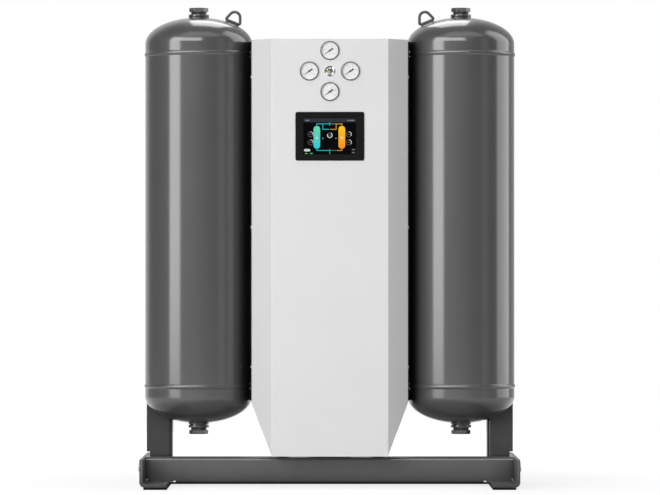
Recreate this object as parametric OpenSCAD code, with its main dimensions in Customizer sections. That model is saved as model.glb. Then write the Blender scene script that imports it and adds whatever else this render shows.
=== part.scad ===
// Twin-tower desiccant air dryer on a folded steel base.
// X to the right, Y to the back, Z up, in millimetres.
// The origin is on the floor, midway between the vessels.

/* [Vessels] */
// Outside diameter of each vessel
vessel_od = 323.9; // [300:0.1:340]
// Wall of the shell and the heads
vessel_wall = 6.4; // [5:0.1:9]
// Distance between the vessel axes
vessel_spacing = 795; // [786:1:860]
// Shell length between the tangent lines of the heads
shell_length = 1068; // [1040:1:1160]
// Height of the lower tangent line above the floor
lower_tangent_z = 270; // [266:1:300]
// Straight flange of a head, from tangent line to weld
head_flange = 32; // [20:0.5:36]
// Width of a girth weld bead
weld_width = 14; // [8:0.5:16]
// Height of a weld bead above the shell
weld_height = 2.2; // [1:0.1:3]
// Height of the nozzles above the lower tangent line, and below the upper one
nozzle_inset = 70; // [60:1:90]

/* [Plugs and couplings] */
// Outside diameter of a half coupling
coupling_od = 54; // [52:0.5:58]
// Diameter of the band at the rim of a coupling
coupling_band_d = 62; // [60:0.5:70]
// Height of that band
coupling_band_h = 8; // [5:0.5:10]
// Height of the fill coupling's band above the top head
fill_standoff = 1; // [1:0.5:12]
// Depth of the drain coupling's band below the bottom head
drain_standoff = 5; // [4:0.5:14]
// Thread diameter of a pipe plug
plug_thread_d = 48; // [44:0.1:49]
// Thread length inside the coupling
plug_thread_length = 20; // [14:1:24]
// Plain neck between coupling and plug head
plug_neck = 7.5; // [3:0.5:10]
// Hex of a plug head, across flats
plug_hex = 50.8; // [46:0.1:56]
// Height of a plug head
plug_head_h = 12.5; // [8:0.5:18]

/* [Lifting eyes] */
// Bar diameter of a lifting eye
eye_bar_d = 8.5; // [6:0.5:10]
// Distance of an eye from its vessel's axis
eye_offset = 101.5; // [95:0.5:115]
// Half width of an eye at its foot, on the bar's centre line
eye_half_foot = 24; // [20:0.5:26]
// Radius of the arch, on the bar's centre line
eye_arch_r = 16.5; // [14:0.5:19]
// Height of the arch's centre above the head
eye_arch_h = 20; // [18:0.5:26]
// Step in radius where an eye's straight bars meet its bends
eye_seam = 0.05; // [0.04:0.01:0.1]
// Length of a straight bar that is welded into the arch's end
eye_lap = 1; // [0.5:0.1:1.2]

/* [Base] */
// Height of the rubber pads under the rails
pad_height = 6.5; // [4:0.5:10]
// Inset of a pad from the rail's outer face
pad_inset = 12; // [8:1:20]
// Height of a rail
rail_height = 83; // [76:1:92]
// Width of a rail's floor leg
rail_width = 81.5; // [76:0.5:100]
// Thickness of a rail
rail_thickness = 10; // [8:0.5:11]
// Outside bend radius of a rail
rail_bend = 16; // [14:0.5:20]
// Length of a rail, front to back
rail_length = 600; // [560:1:700]
// Distance from a vessel's axis to the rail's outer face
rail_overhang = 168; // [160:0.5:180]
// Front of the cross beam
beam_front_y = -62; // [-70:1:-58]
// Depth of the beam's flanges
beam_depth = 60; // [54:1:62]
// Sheet thickness of the beam
beam_thickness = 6; // [4:0.5:8]
// Outside bend radius of the beam
beam_bend = 11; // [10:0.5:14]
// Gap where the beam's web is cut back from a rail's floor leg
beam_cope = 19; // [4:1:24]
// Thickness of the beam's end plates
end_plate = 8; // [6:0.5:12]
// Front face of the posts
post_front_y = 4; // [2:1:12]
// Thickness of a post
post_thickness = 10; // [6:0.5:11]
// Outside bend radius of a post
post_bend = 13; // [12:0.5:16]
// Depth of a post, front to back
post_depth = 76; // [60:1:86]
// Distance that a post reaches past its rail's floor leg
post_reach = 7; // [2:0.5:12]
// Distance of the frame bolts below the beam's top
bolt_drop = 32.5; // [30:0.5:40]
// Thread diameter of the frame bolts
bolt_d = 16; // [12:1:16]
// Hex of the frame bolts, across flats
bolt_hex = 24; // [18:0.5:24]
// Height of a frame bolt's head
bolt_head_h = 10; // [7:0.5:12]
// Height of a frame bolt's nut
nut_h = 13; // [9:0.5:15]
// Diameter of a frame bolt's washers
washer_d = 30; // [26:0.5:32]
// Thickness of a frame bolt's washers
washer_t = 3; // [2:0.5:4]
// Width of the notch at a post's outer foot
post_notch_w = 10; // [6:0.5:16]
// Height of that notch above the rail
post_notch_h = 13.5; // [10:0.5:26]
// Anchor hole diameter in the rails
anchor_hole_d = 14; // [11:0.5:18]
// Distance of the anchor holes from the rail's outer face
anchor_inset = 50; // [44:1:54]
// Distance of the anchor holes from the rail's ends
anchor_end = 40; // [25:1:80]

/* [Hood] */
// Gap between the hood's back edge and a vessel
hood_side_gap = 5; // [4:0.5:12]
// Width of the hood's front face
hood_front_w = 350; // [320:1:370]
// Depth of the hood from front face to back edge
hood_depth = 150; // [140:1:180]
// Back edge of the hood
hood_back_y = -40; // [-44:1:-39]
// Height of the hood
hood_height = 1246.5; // [1240:0.5:1400]
// Height of the tapered foot
hood_taper = 157.5; // [120:0.5:175]
// Gap between the beam and the hood
hood_floor_gap = 9; // [3:0.5:12]
// Sheet thickness of the hood
hood_sheet = 2; // [1.2:0.1:3]
// Depth of the lip folded down at the back of the top
hood_lip = 18; // [10:1:30]
// Thread diameter of the hood screws
screw_d = 6; // [5:0.5:8]
// Head diameter of the hood screws
screw_head_d = 10.5; // [9:0.5:14]
// Head height of the hood screws
screw_head_h = 3.5; // [2.5:0.5:5]
// Hex of the hood screws' nuts, across flats
screw_nut = 10; // [9.5:0.5:13]
// Height of the hood screws' nuts
screw_nut_h = 5; // [4:0.5:7]

/* [Operator panel] */
// Width of the bezel
hmi_w = 206; // [190:1:220]
// Height of the bezel
hmi_h = 146; // [136:1:150]
// Height of the bezel above the hood
hmi_proud = 5; // [3:0.5:8]
// Corner radius of the bezel
hmi_corner = 6; // [3:0.5:10]
// Width of the touch screen
screen_w = 158; // [140:1:166]
// Height of the touch screen
screen_h = 108; // [100:1:116]
// Thickness of the touch screen
screen_t = 2; // [1:0.1:3]
// Depth of the housing behind the hood's front
hmi_depth = 42; // [30:1:60]
// Distance from the hood's top to the panel's centre
hmi_drop = 292; // [285:1:330]

/* [Gauges] */
// Distance from the hood's top to the centre of the gauge cross
gauge_drop = 97; // [94:1:105]
// Distance of each gauge from that centre
gauge_offset = 61.5; // [58:0.5:66]
// Outside diameter of a gauge bezel
gauge_bezel_d = 57; // [54:0.5:62]
// Height of a gauge bezel above the hood
gauge_proud = 8; // [7:0.5:11]
// Diameter of a gauge case
gauge_case_d = 50; // [48:0.5:52]
// Depth of a gauge case behind the hood's front
gauge_depth = 30; // [28:1:40]
// Shaft diameter of a pointer
shaft_d = 2; // [1.6:0.1:2.6]
// Pointer length from its axis to the tip
pointer_tip = 18; // [15:0.5:20]
// Pointer length from its axis to the end of the tail
pointer_tail = 11.5; // [5:0.5:14]
// Angle of the zero mark below the horizontal
zero_angle = 35; // [20:1:50]

/* [Moisture indicator] */
// Outside diameter of its rim
indicator_d = 32; // [28:0.5:38]
// Diameter of its threaded body
indicator_body_d = 20; // [17:0.5:22]
// Height of its body above the hood
indicator_proud = 9; // [7:0.5:12]
// Depth of its body behind the hood's front
indicator_depth = 25; // [20:1:35]
// Diameter of its lens
indicator_lens_d = 16; // [14:0.5:18]
// Slope of its cone, from the hood's front
indicator_slope = 40; // [30:1:42]

/* [Inside] */
// Outside diameter of a nozzle pipe
nozzle_od = 48.3; // [42:0.1:50]
// Bore of a nozzle pipe
nozzle_bore = 40; // [34:0.5:41]
// Width of the lower manifold block
lower_block_w = 130; // [126:1:160]
// Depth and height of the lower manifold block
lower_block_h = 90; // [80:1:100]
// Width of the upper manifold block
upper_block_w = 100; // [90:1:140]
// Depth and height of the upper manifold block
upper_block_h = 80; // [76:1:96]
// Outside diameter of the air ports at the back
port_od = 64; // [58:1:70]
// Bore of the air ports, before threading
port_bore = 44; // [40:0.5:46]
// Distance of the port faces from the middle plane
port_reach = 150; // [120:1:190]
// Depth of a port's bore
port_depth = 32; // [24:1:40]
// Distance of each exhaust valve from the middle
exhaust_x = 35; // [33:1:38]
// Diameter of an exhaust valve's body
exhaust_d = 42; // [36:1:48]
// Height of an exhaust valve's body
exhaust_h = 70; // [50:1:80]
// Diameter of a muffler
muffler_d = 56; // [46:1:60]
// Length of a muffler
muffler_length = 120; // [90:1:125]
// Distance of the bed screens from the nozzle axes
screen_offset = 40; // [32:1:60]
// Thickness of a bed screen
bed_screen_t = 3; // [2:0.5:6]
// Distance of each strut from the middle
strut_x = 145; // [135:1:150]
// Size of the square strut tube
strut_size = 30; // [26:1:34]
// Wall of the strut tube
strut_wall = 3; // [2:0.5:4]
// Distance of a strut behind the beam's front
strut_setback = 4; // [2:0.5:5]
// Distance of a strut's top below the hood's top
strut_drop = 60; // [50:1:80]
// Width of a strut's foot plate
strut_foot_w = 48; // [40:1:52]
// Height of the lowest bracket above the hood's foot
low_bracket = 262; // [256:1:280]
// Height of the middle bracket above the hood's foot
middle_bracket = 684; // [640:1:720]
// Distance of the highest bracket below the hood's top
high_bracket = 110; // [100:1:130]
// Height of a strut bracket
bracket_h = 60; // [40:1:70]
// Plate thickness of the strut brackets
bracket_t = 8; // [5:0.5:9]
// Length of a hood tab along the hood's side
tab_length = 80; // [60:1:86]
// Thickness of a hood tab
tab_t = 6; // [4:0.5:8]
// Height of the pilot valve bank above the floor
pilot_z = 700; // [500:1:900]

/* [Fits] */
// Gap left for a weld at a fitted edge
weld_gap = 0.25; // [0.1:0.05:0.5]
// Gap around a part that is set into another
seat_gap = 0.2; // [0.1:0.05:0.5]
// Gap around a panel in its cut-out
panel_gap = 0.5; // [0.3:0.1:1]
// Radial clearance of a pointer's shaft
running_gap = 0.03; // [0.01:0.01:0.1]

/* [Hidden] */
$fn = 96;
tiny = 0.01;
over = 1;
vessel_colour = "#4f5052";
base_colour = "#48494b";
hood_colour = "#dedede";
steel_colour = "#b9bcc0";
dark_colour = "#2b2c2e";
brass_colour = "#b79a55";

// Vessel levels
vessel_r = vessel_od / 2;
vessel_ir = vessel_r - vessel_wall;
head_h = vessel_r / 2;
head_steps = 24;
vessel_x = vessel_spacing / 2;
upper_tangent_z = lower_tangent_z + shell_length;
weld_levels = [lower_tangent_z + head_flange, upper_tangent_z - head_flange];
lower_nozzle_z = lower_tangent_z + nozzle_inset;
upper_nozzle_z = upper_tangent_z - nozzle_inset;
shell_near_x = vessel_x - vessel_r;
nozzle_end_x = shell_near_x + vessel_wall - over;
eye_rise = head_h * sqrt(1 - pow(eye_offset / vessel_r, 2));
eye_tilt = atan(head_h * head_h * eye_offset / (vessel_r * vessel_r * eye_rise));

// Base levels
base_top_z = pad_height + rail_height;
rail_floor_z = pad_height + rail_thickness;
rail_outer_x = vessel_x + rail_overhang;
rail_inner_x = rail_outer_x - rail_thickness;
rail_edge_x = rail_outer_x - rail_width;
beam_mid_y = beam_front_y + beam_depth / 2;
beam_bolt_z = base_top_z - bolt_drop;
bolt_hole_d = bolt_d + 1;
bolt_tail = 6;

// Hood outline
hood_half_w = vessel_x - sqrt(pow(vessel_r + hood_side_gap, 2) - pow(hood_back_y, 2));
hood_front_y = hood_back_y - hood_depth;
hood_bottom_z = base_top_z + hood_floor_gap;
hood_top_z = hood_bottom_z + hood_height;
hood_chamfer = hood_half_w - hood_front_w / 2;
hood_side_y = hood_front_y + hood_chamfer;
hood_screw_y = (hood_side_y + hood_back_y) / 2;
screw_hole_d = 1.1 * screw_d;
screw_tail = 2;

// Places on the hood's front
hmi_z = hood_top_z - hmi_drop;
hmi_rim = 8;
hmi_back_w = hmi_w - 2 * hmi_rim;
hmi_back_h = hmi_h - 2 * hmi_rim;
gauge_z = hood_top_z - gauge_drop;
gauge_turns = [90, 180, 0, 270];

// Gauge levels, from the hood's front towards the viewer
window_r = gauge_case_d / 2;
window_z = gauge_proud - 4;
window_t = 2;
dial_r = window_r - 1.5;
dial_z = -1.5;
dial_t = 1;
movement_r = 6;
movement_z = dial_z - 6;
stem_r = 7;
stem_length = 16;
hub_r = 3;
hub_z = dial_z + dial_t + 0.5;
hub_h = 3;
blade_z = hub_z + 1.2;
blade_t = 0.8;

// Behind the hood
strut_y = beam_front_y + strut_setback + strut_size / 2;
strut_back_y = strut_y + strut_size / 2;
strut_top_z = hood_top_z - strut_drop;
strut_foot_t = 6;
bracket_levels = [hood_bottom_z + low_bracket, hood_bottom_z + middle_bracket, hood_top_z - high_bracket];
tab_outer_x = hood_half_w - hood_sheet;
lower_screen_z = lower_nozzle_z + screen_offset;
upper_screen_z = upper_nozzle_z - screen_offset;
screen_hole_d = 14;
screen_rings = 3;

// Shared shapes

// Two copies of one side's piece: side is 1 for right, -1 for left
module on_side(side) {
    if (side > 0) children();
    else mirror([1, 0, 0]) children();
}

// Places a child in a vessel's own frame
module at_vessel(side) {
    translate([side * vessel_x, 0, 0]) children();
}

// Stands a child on the hood's front: local z towards the viewer, y up
module on_front(x, z) {
    translate([x, hood_front_y, z]) rotate([90, 0, 0]) children();
}

// Section of a bent angle with its outer corner at the origin
module bent_angle(width, height, thickness, bend) {
    translate([bend, 0]) square([width - bend, thickness]);
    translate([0, bend]) square([thickness, height - bend]);
    translate([bend, bend]) intersection() {
        difference() {
            circle(bend);
            circle(bend - thickness);
        }
        translate([-bend, -bend]) square(bend);
    }
}

// Rectangle about the origin with round corners
module rounded_rectangle(width, height, corner) {
    square([width - 2 * corner, height], center = true);
    square([width, height - 2 * corner], center = true);
    for (x = [-1, 1], y = [-1, 1])
        translate([x * (width / 2 - corner), y * (height / 2 - corner)]) circle(corner);
}

module hex_bar(across_flats, height) {
    cylinder(d = across_flats / cos(30), h = height, $fn = 6);
}

module ring(outer_d, inner_d, height) {
    difference() {
        cylinder(d = outer_d, h = height);
        translate([0, 0, -over]) cylinder(d = inner_d, h = height + 2 * over);
    }
}

// Round bar between two points of the XZ plane
module bar_between(a, b, diameter) {
    run = b - a;
    translate([a[0], 0, a[1]]) rotate([0, atan2(run[0], run[1]), 0])
        cylinder(d = diameter, h = norm(run));
}

// Vessel forms

// Quarter ellipse from the axis (step 0) to the tangent line
function head_curve(r, rise, level, way) =
    [for (i = [0:head_steps]) [r * sin(90 * i / head_steps), level + way * rise * cos(90 * i / head_steps)]];

function backwards(points) = [for (i = [len(points) - 1:-1:0]) points[i]];

// Closed capsule with elliptical ends
module capsule(r, rise) {
    rotate_extrude() polygon(concat(
        head_curve(r, rise, lower_tangent_z, -1),
        backwards(head_curve(r, rise, upper_tangent_z, 1))));
}

// Weld bead: an arc that stands proud of the shell
bead_r = (weld_width * weld_width / 4 + weld_height * weld_height) / (2 * weld_height);
bead_half_angle = asin(weld_width / 2 / bead_r);
bead_steps = 8;
function bead_arc(level) = [for (i = [-bead_steps:bead_steps])
    let (a = bead_half_angle * i / bead_steps)
    [vessel_r + weld_height - bead_r + bead_r * cos(a), level + bead_r * sin(a)]];

module weld_bead(level) {
    rotate_extrude() polygon(concat(bead_arc(level),
        [[vessel_r - vessel_wall / 2, level + weld_width / 2], [vessel_r - vessel_wall / 2, level - weld_width / 2]]));
}

module vessel(side) {
    color(vessel_colour) at_vessel(side) difference() {
        union() {
            capsule(vessel_r, head_h);
            for (level = weld_levels) weld_bead(level);
        }
        capsule(vessel_ir, head_h - vessel_wall);
        translate([0, 0, lower_tangent_z - head_h - over])
            cylinder(d = coupling_od + 2 * weld_gap, h = shell_length + 2 * head_h + 2 * over);
        for (z = [lower_nozzle_z, upper_nozzle_z])
            translate([0, 0, z]) rotate([0, -side * 90, 0])
                cylinder(d = nozzle_od + 2 * weld_gap, h = vessel_r + over);
    }
}

// Half coupling, its outer face at the band; z counts up from the head's apex
module coupling(standoff) {
    translate([0, 0, standoff]) ring(coupling_band_d, plug_thread_d + 2 * seat_gap, coupling_band_h);
    translate([0, 0, -vessel_wall - coupling_band_h])
        ring(coupling_od, plug_thread_d + 2 * seat_gap, vessel_wall + 1.5 * coupling_band_h + standoff);
}

module plug(standoff) {
    face = standoff + coupling_band_h;
    translate([0, 0, face - plug_thread_length])
        cylinder(d = plug_thread_d, h = plug_thread_length + plug_neck + tiny);
    translate([0, 0, face + plug_neck]) hex_bar(plug_hex, plug_head_h);
}

module at_top(side) {
    at_vessel(side) translate([0, 0, upper_tangent_z + head_h]) children();
}

module at_bottom(side) {
    at_vessel(side) translate([0, 0, lower_tangent_z - head_h]) mirror([0, 0, 1]) children();
}

module fill_coupling(side) {
    color(vessel_colour) at_top(side) coupling(fill_standoff);
}

module drain_coupling(side) {
    color(vessel_colour) at_bottom(side) coupling(drain_standoff);
}

module fill_plug(side) {
    color(dark_colour) at_top(side) plug(fill_standoff);
}

module drain_plug(side) {
    color(dark_colour) at_bottom(side) plug(drain_standoff);
}

// Lifting eye: a bar bent to a triangle with an arched top, on the head's inner slope
eye_foot_h = eye_bar_d / 2 + weld_gap;
eye_reach = [eye_half_foot, eye_arch_h - eye_foot_h];
eye_lean = 90 - atan2(eye_reach[1], eye_reach[0]) - asin(eye_arch_r / norm(eye_reach));
eye_touch = [eye_arch_r * cos(eye_lean), eye_arch_h + eye_arch_r * sin(eye_lean)];
eye_leg = eye_touch - [eye_half_foot, eye_foot_h];
eye_end = eye_touch + eye_leg * eye_lap / norm(eye_leg);

module eye_form() {
    straight_d = eye_bar_d - 2 * eye_seam;
    for (s = [-1, 1]) {
        bar_between([s * eye_half_foot, eye_foot_h], [s * eye_end[0], eye_end[1]], straight_d);
        translate([s * eye_half_foot, 0, eye_foot_h]) sphere(d = eye_bar_d);
    }
    bar_between([-eye_half_foot, eye_foot_h], [eye_half_foot, eye_foot_h], straight_d);
    translate([0, 0, eye_arch_h]) rotate([90, 0, 0]) rotate([0, 0, eye_lean])
        rotate_extrude(angle = 180 - 2 * eye_lean) translate([eye_arch_r, 0]) circle(d = eye_bar_d);
}

module lifting_eye(side) {
    color(base_colour) on_side(side)
        translate([vessel_x - eye_offset, 0, upper_tangent_z + eye_rise])
            rotate([0, -eye_tilt, 0]) eye_form();
}

module desiccant(side) {
    low = lower_screen_z + bed_screen_t;
    color("#e8e4da") at_vessel(side) translate([0, 0, low])
        cylinder(r = vessel_ir - weld_gap, h = upper_screen_z - bed_screen_t - low);
}

// Perforated plate with rings of holes
module bed_screen(side, level) {
    color(steel_colour) at_vessel(side) translate([0, 0, level]) difference() {
        cylinder(r = vessel_ir - weld_gap, h = bed_screen_t);
        for (row = [1:screen_rings], i = [0:6 * row - 1])
            rotate([0, 0, 60 * i / row]) translate([row * vessel_ir / (screen_rings + 1), 0, -over])
                cylinder(d = screen_hole_d, h = bed_screen_t + 2 * over);
    }
}

// Base

module anchor_holes() {
    for (y = [-1, 1])
        translate([rail_outer_x - anchor_inset, y * (rail_length / 2 - anchor_end), -over])
            cylinder(d = anchor_hole_d, h = rail_floor_z + 2 * over);
}

module bolt_hole() {
    translate([rail_edge_x, beam_mid_y, beam_bolt_z]) rotate([0, 90, 0])
        cylinder(d = bolt_hole_d, h = rail_width + over);
}

module rail(side) {
    color(base_colour) on_side(side) difference() {
        translate([rail_outer_x, rail_length / 2, pad_height]) rotate([90, 0, 0])
            linear_extrude(rail_length) mirror([1, 0])
                bent_angle(rail_width, rail_height, rail_thickness, rail_bend);
        anchor_holes();
        bolt_hole();
    }
}

module foot_pad(side) {
    color("#1c1c1c") on_side(side) difference() {
        translate([rail_edge_x, -rail_length / 2, 0])
            cube([rail_width - pad_inset, rail_length, pad_height]);
        anchor_holes();
    }
}

// Channel section, web on the left, flanges to the right
module channel(depth, height, thickness, bend) {
    bent_angle(depth, height / 2, thickness, bend);
    translate([0, height]) mirror([0, 1]) bent_angle(depth, height / 2, thickness, bend);
}

// Clear of the rail's floor leg and its inner bend
module beam_cut_back() {
    edge = rail_edge_x - beam_cope;
    clear_z = rail_floor_z + weld_gap;
    bend_clear = rail_bend - rail_thickness + weld_gap;
    translate([edge, beam_front_y - over, pad_height - over])
        cube([rail_width + beam_cope, beam_bend + over, clear_z - pad_height + over]);
    translate([rail_edge_x - weld_gap, beam_front_y - over, pad_height - over])
        cube([rail_width, beam_depth + 2 * over, clear_z - pad_height + over]);
    translate([rail_inner_x - bend_clear, beam_front_y - over, pad_height])
        cube([rail_width, beam_depth + 2 * over, clear_z - pad_height + bend_clear]);
}

module cross_beam() {
    color(base_colour) difference() {
        union() {
            translate([-rail_inner_x, beam_front_y, pad_height]) rotate([90, 0, 90])
                linear_extrude(2 * rail_inner_x)
                    channel(beam_depth, rail_height, beam_thickness, beam_bend);
            for (side = [-1, 1]) on_side(side)
                translate([rail_inner_x - end_plate, beam_front_y + beam_thickness / 2, rail_floor_z])
                    cube([end_plate, beam_depth - beam_thickness / 2, rail_height - rail_thickness - beam_thickness / 2]);
        }
        for (side = [-1, 1]) on_side(side) {
            beam_cut_back();
            bolt_hole();
        }
    }
}

module post(side) {
    inner_x = rail_edge_x - post_reach;
    width = rail_inner_x - weld_gap - inner_x;
    color(base_colour) on_side(side) difference() {
        translate([inner_x, post_front_y, rail_floor_z])
            linear_extrude(lower_tangent_z - rail_floor_z)
                bent_angle(width, post_depth, post_thickness, post_bend);
        translate([vessel_x, 0, 0]) capsule(vessel_r + weld_gap, head_h + weld_gap);
        translate([rail_inner_x - post_notch_w, post_front_y - over, base_top_z])
            cube([rail_width, post_thickness + 2 * over, post_notch_h]);
        translate([rail_inner_x - rail_bend + rail_thickness - weld_gap, post_front_y - over, rail_floor_z - over])
            cube([rail_width, post_thickness + 2 * over, rail_bend - rail_thickness + weld_gap + over]);
    }
}

// Bolt, washers and nut through a rail and the beam's end plate
module frame_bolt() {
    grip = rail_thickness + end_plate + 2 * washer_t;
    rotate([0, -90, 0]) {
        translate([0, 0, -washer_t - bolt_head_h]) hex_bar(bolt_hex, bolt_head_h);
        translate([0, 0, -washer_t - tiny])
            cylinder(d = bolt_d, h = grip + nut_h + bolt_tail);
        translate([0, 0, -washer_t]) ring(washer_d, bolt_hole_d, washer_t);
        translate([0, 0, grip - 2 * washer_t]) ring(washer_d, bolt_hole_d, washer_t);
        translate([0, 0, grip - washer_t]) difference() {
            hex_bar(bolt_hex, nut_h);
            translate([0, 0, -over]) cylinder(d = bolt_d + 2 * seat_gap, h = nut_h + 2 * over);
        }
    }
}

module frame_bolts() {
    color(steel_colour) for (side = [-1, 1]) on_side(side)
        translate([rail_outer_x, beam_mid_y, beam_bolt_z]) frame_bolt();
}

// Hood

// Outline of the hood in plan, moved inwards by inset
module hood_plan(inset, back_y) {
    step = inset * tan(22.5);
    half = hood_half_w - inset;
    front = hood_front_w / 2 - step;
    polygon([[-front, hood_front_y + inset], [front, hood_front_y + inset],
        [half, hood_side_y + step], [half, back_y], [-half, back_y], [-half, hood_side_y + step]]);
}

// Outline of the hood from the front, moved inwards by inset
module hood_front_outline(inset, bottom_z, top_z) {
    slope = hood_chamfer / hood_taper;
    shift = inset * sqrt(1 + slope * slope);
    half = hood_half_w - inset;
    foot = hood_front_w / 2 - shift + slope * (bottom_z - hood_bottom_z);
    shoulder_z = hood_bottom_z + (half - hood_front_w / 2 + shift) / slope;
    polygon([[-foot, bottom_z], [foot, bottom_z], [half, shoulder_z], [half, top_z],
        [-half, top_z], [-half, shoulder_z]]);
}

module hood_form(inset, back_y, bottom_z, top_z) {
    intersection() {
        translate([0, 0, bottom_z]) linear_extrude(top_z - bottom_z) hood_plan(inset, back_y);
        translate([0, back_y, 0]) rotate([90, 0, 0]) linear_extrude(back_y - hood_front_y + over)
            hood_front_outline(inset, bottom_z, top_z);
    }
}

module hood() {
    color(hood_colour) difference() {
        union() {
            difference() {
                hood_form(0, hood_back_y, hood_bottom_z, hood_top_z);
                hood_form(hood_sheet, hood_back_y + over, hood_bottom_z - over, hood_top_z - hood_sheet);
            }
            translate([-hood_half_w + hood_sheet, hood_back_y - hood_sheet, hood_top_z - hood_lip])
                cube([2 * (hood_half_w - hood_sheet), hood_sheet, hood_lip]);
        }
        on_front(0, hmi_z) translate([0, 0, -hood_sheet - over])
            linear_extrude(hood_sheet + 2 * over)
                square([hmi_back_w + 2 * panel_gap, hmi_back_h + 2 * panel_gap], center = true);
        for (turn = gauge_turns) at_gauge(turn) translate([0, 0, -hood_sheet - over])
            cylinder(d = gauge_case_d + 2 * panel_gap, h = hood_sheet + 2 * over);
        on_front(0, gauge_z) translate([0, 0, -hood_sheet - over])
            cylinder(d = indicator_body_d + 2 * panel_gap, h = hood_sheet + 2 * over);
        hood_screw_holes();
    }
}

module hood_screw_holes() {
    for (z = bracket_levels)
        translate([-hood_half_w - over, hood_screw_y, z]) rotate([0, 90, 0])
            cylinder(d = screw_hole_d, h = 2 * (hood_half_w + over));
}

// Strut: square tube with a foot, arms to the vessel and tabs for the hood
module strut(side) {
    arm_front_y = strut_back_y - bracket_t;
    color(base_colour) on_side(side) difference() {
        union() {
            translate([strut_x - strut_size / 2, strut_y - strut_size / 2, base_top_z])
                cube([strut_size, strut_size, strut_top_z - base_top_z]);
            translate([strut_x - strut_foot_w / 2, beam_front_y + beam_bend, base_top_z])
                cube([strut_foot_w, strut_back_y - beam_front_y - beam_bend, strut_foot_t]);
            for (z = bracket_levels) {
                translate([strut_x, arm_front_y, z - bracket_h / 2])
                    cube([vessel_x - strut_x, bracket_t, bracket_h]);
                translate([tab_outer_x - tab_t, strut_back_y - bracket_t - tab_length, z - bracket_h / 2])
                    cube([tab_t, tab_length + bracket_t, bracket_h]);
            }
        }
        translate([strut_x - strut_size / 2 + strut_wall, strut_y - strut_size / 2 + strut_wall, base_top_z + strut_foot_t])
            cube([strut_size - 2 * strut_wall, strut_size - 2 * strut_wall, strut_top_z]);
        translate([vessel_x, 0, 0]) {
            capsule(vessel_r + weld_gap, head_h + weld_gap);
            for (level = weld_levels) translate([0, 0, level])
                cylinder(r = vessel_r + weld_height + weld_gap, h = weld_width + 2 * weld_gap, center = true);
        }
        hood_screw_holes();
    }
}

// Screw from outside through hood and tab, with its nut
module hood_screw() {
    grip = hood_sheet + tab_t;
    rotate([0, -90, 0]) {
        translate([0, 0, -screw_head_h]) cylinder(d = screw_head_d, h = screw_head_h);
        translate([0, 0, -tiny]) cylinder(d = screw_d, h = grip + screw_nut_h + screw_tail);
        translate([0, 0, grip]) difference() {
            hex_bar(screw_nut, screw_nut_h);
            translate([0, 0, -over]) cylinder(d = screw_d + 2 * seat_gap, h = screw_nut_h + 2 * over);
        }
    }
}

module hood_screws() {
    color(steel_colour) for (side = [-1, 1], z = bracket_levels) on_side(side)
        translate([hood_half_w, hood_screw_y, z]) hood_screw();
}

// Operator panel

module hmi_housing() {
    color(dark_colour) on_front(0, hmi_z) difference() {
        union() {
            linear_extrude(hmi_proud) rounded_rectangle(hmi_w, hmi_h, hmi_corner);
            translate([0, 0, -hmi_depth]) linear_extrude(hmi_depth + tiny)
                square([hmi_back_w, hmi_back_h], center = true);
        }
        translate([0, 0, hmi_proud - screen_t]) linear_extrude(screen_t + over)
            square([screen_w + 2 * seat_gap, screen_h + 2 * seat_gap], center = true);
    }
}

module hmi_screen() {
    color("#0d1013") on_front(0, hmi_z) translate([0, 0, hmi_proud - screen_t])
        linear_extrude(screen_t) square([screen_w, screen_h], center = true);
}

// Gauges

// Places a gauge on the cross: turn is its direction from the centre
module at_gauge(turn) {
    on_front(gauge_offset * cos(turn), gauge_z + gauge_offset * sin(turn)) children();
}

module gauge_case(turn) {
    case_r = gauge_case_d / 2;
    floor_z = -gauge_depth + 2;
    bore_r = shaft_d / 2 + running_gap;
    color("#3c3d3f") at_gauge(turn) {
        rotate_extrude() polygon([[0, -gauge_depth], [case_r, -gauge_depth], [case_r, 0],
            [gauge_bezel_d / 2, 0], [gauge_bezel_d / 2, gauge_proud], [window_r, gauge_proud],
            [window_r, window_z], [dial_r, window_z], [dial_r, dial_z], [dial_r - 3, dial_z],
            [dial_r - 3, floor_z], [movement_r, floor_z], [movement_r, movement_z],
            [bore_r, movement_z], [bore_r, floor_z], [0, floor_z]]);
        translate([0, 0, -gauge_depth - stem_length]) cylinder(r = stem_r, h = stem_length + tiny);
    }
}

module gauge_dial(turn) {
    color("white") at_gauge(turn) translate([0, 0, dial_z])
        ring(2 * (dial_r - seat_gap), 2 * shaft_d, dial_t);
}

// Pointer with its shaft, lying on the zero mark
module gauge_pointer(turn) {
    shaft_end = movement_z - 8;
    color("black") at_gauge(turn) {
        translate([0, 0, shaft_end]) cylinder(d = shaft_d, h = hub_z - shaft_end + tiny);
        translate([0, 0, hub_z]) cylinder(r = hub_r, h = hub_h);
        translate([0, 0, blade_z]) rotate([0, 0, 180 + zero_angle]) linear_extrude(blade_t)
            polygon([[-pointer_tail, -2.4], [0, -1.5], [pointer_tip, -0.4],
                [pointer_tip, 0.4], [0, 1.5], [-pointer_tail, 2.4]]);
    }
}

module gauge_window(turn) {
    color([0.85, 0.92, 0.95, 0.4]) at_gauge(turn) translate([0, 0, window_z])
        cylinder(r = window_r - seat_gap, h = window_t);
}

// Moisture indicator

lens_r = indicator_lens_d / 2;
lens_seat_z = indicator_proud - 5;
lens_t = 2.5;
lens_rim = 0.8;
indicator_bore_r = lens_r - 1.3;
cone_z = indicator_proud - (indicator_d / 2 - lens_r - lens_rim) * tan(indicator_slope);

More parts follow.
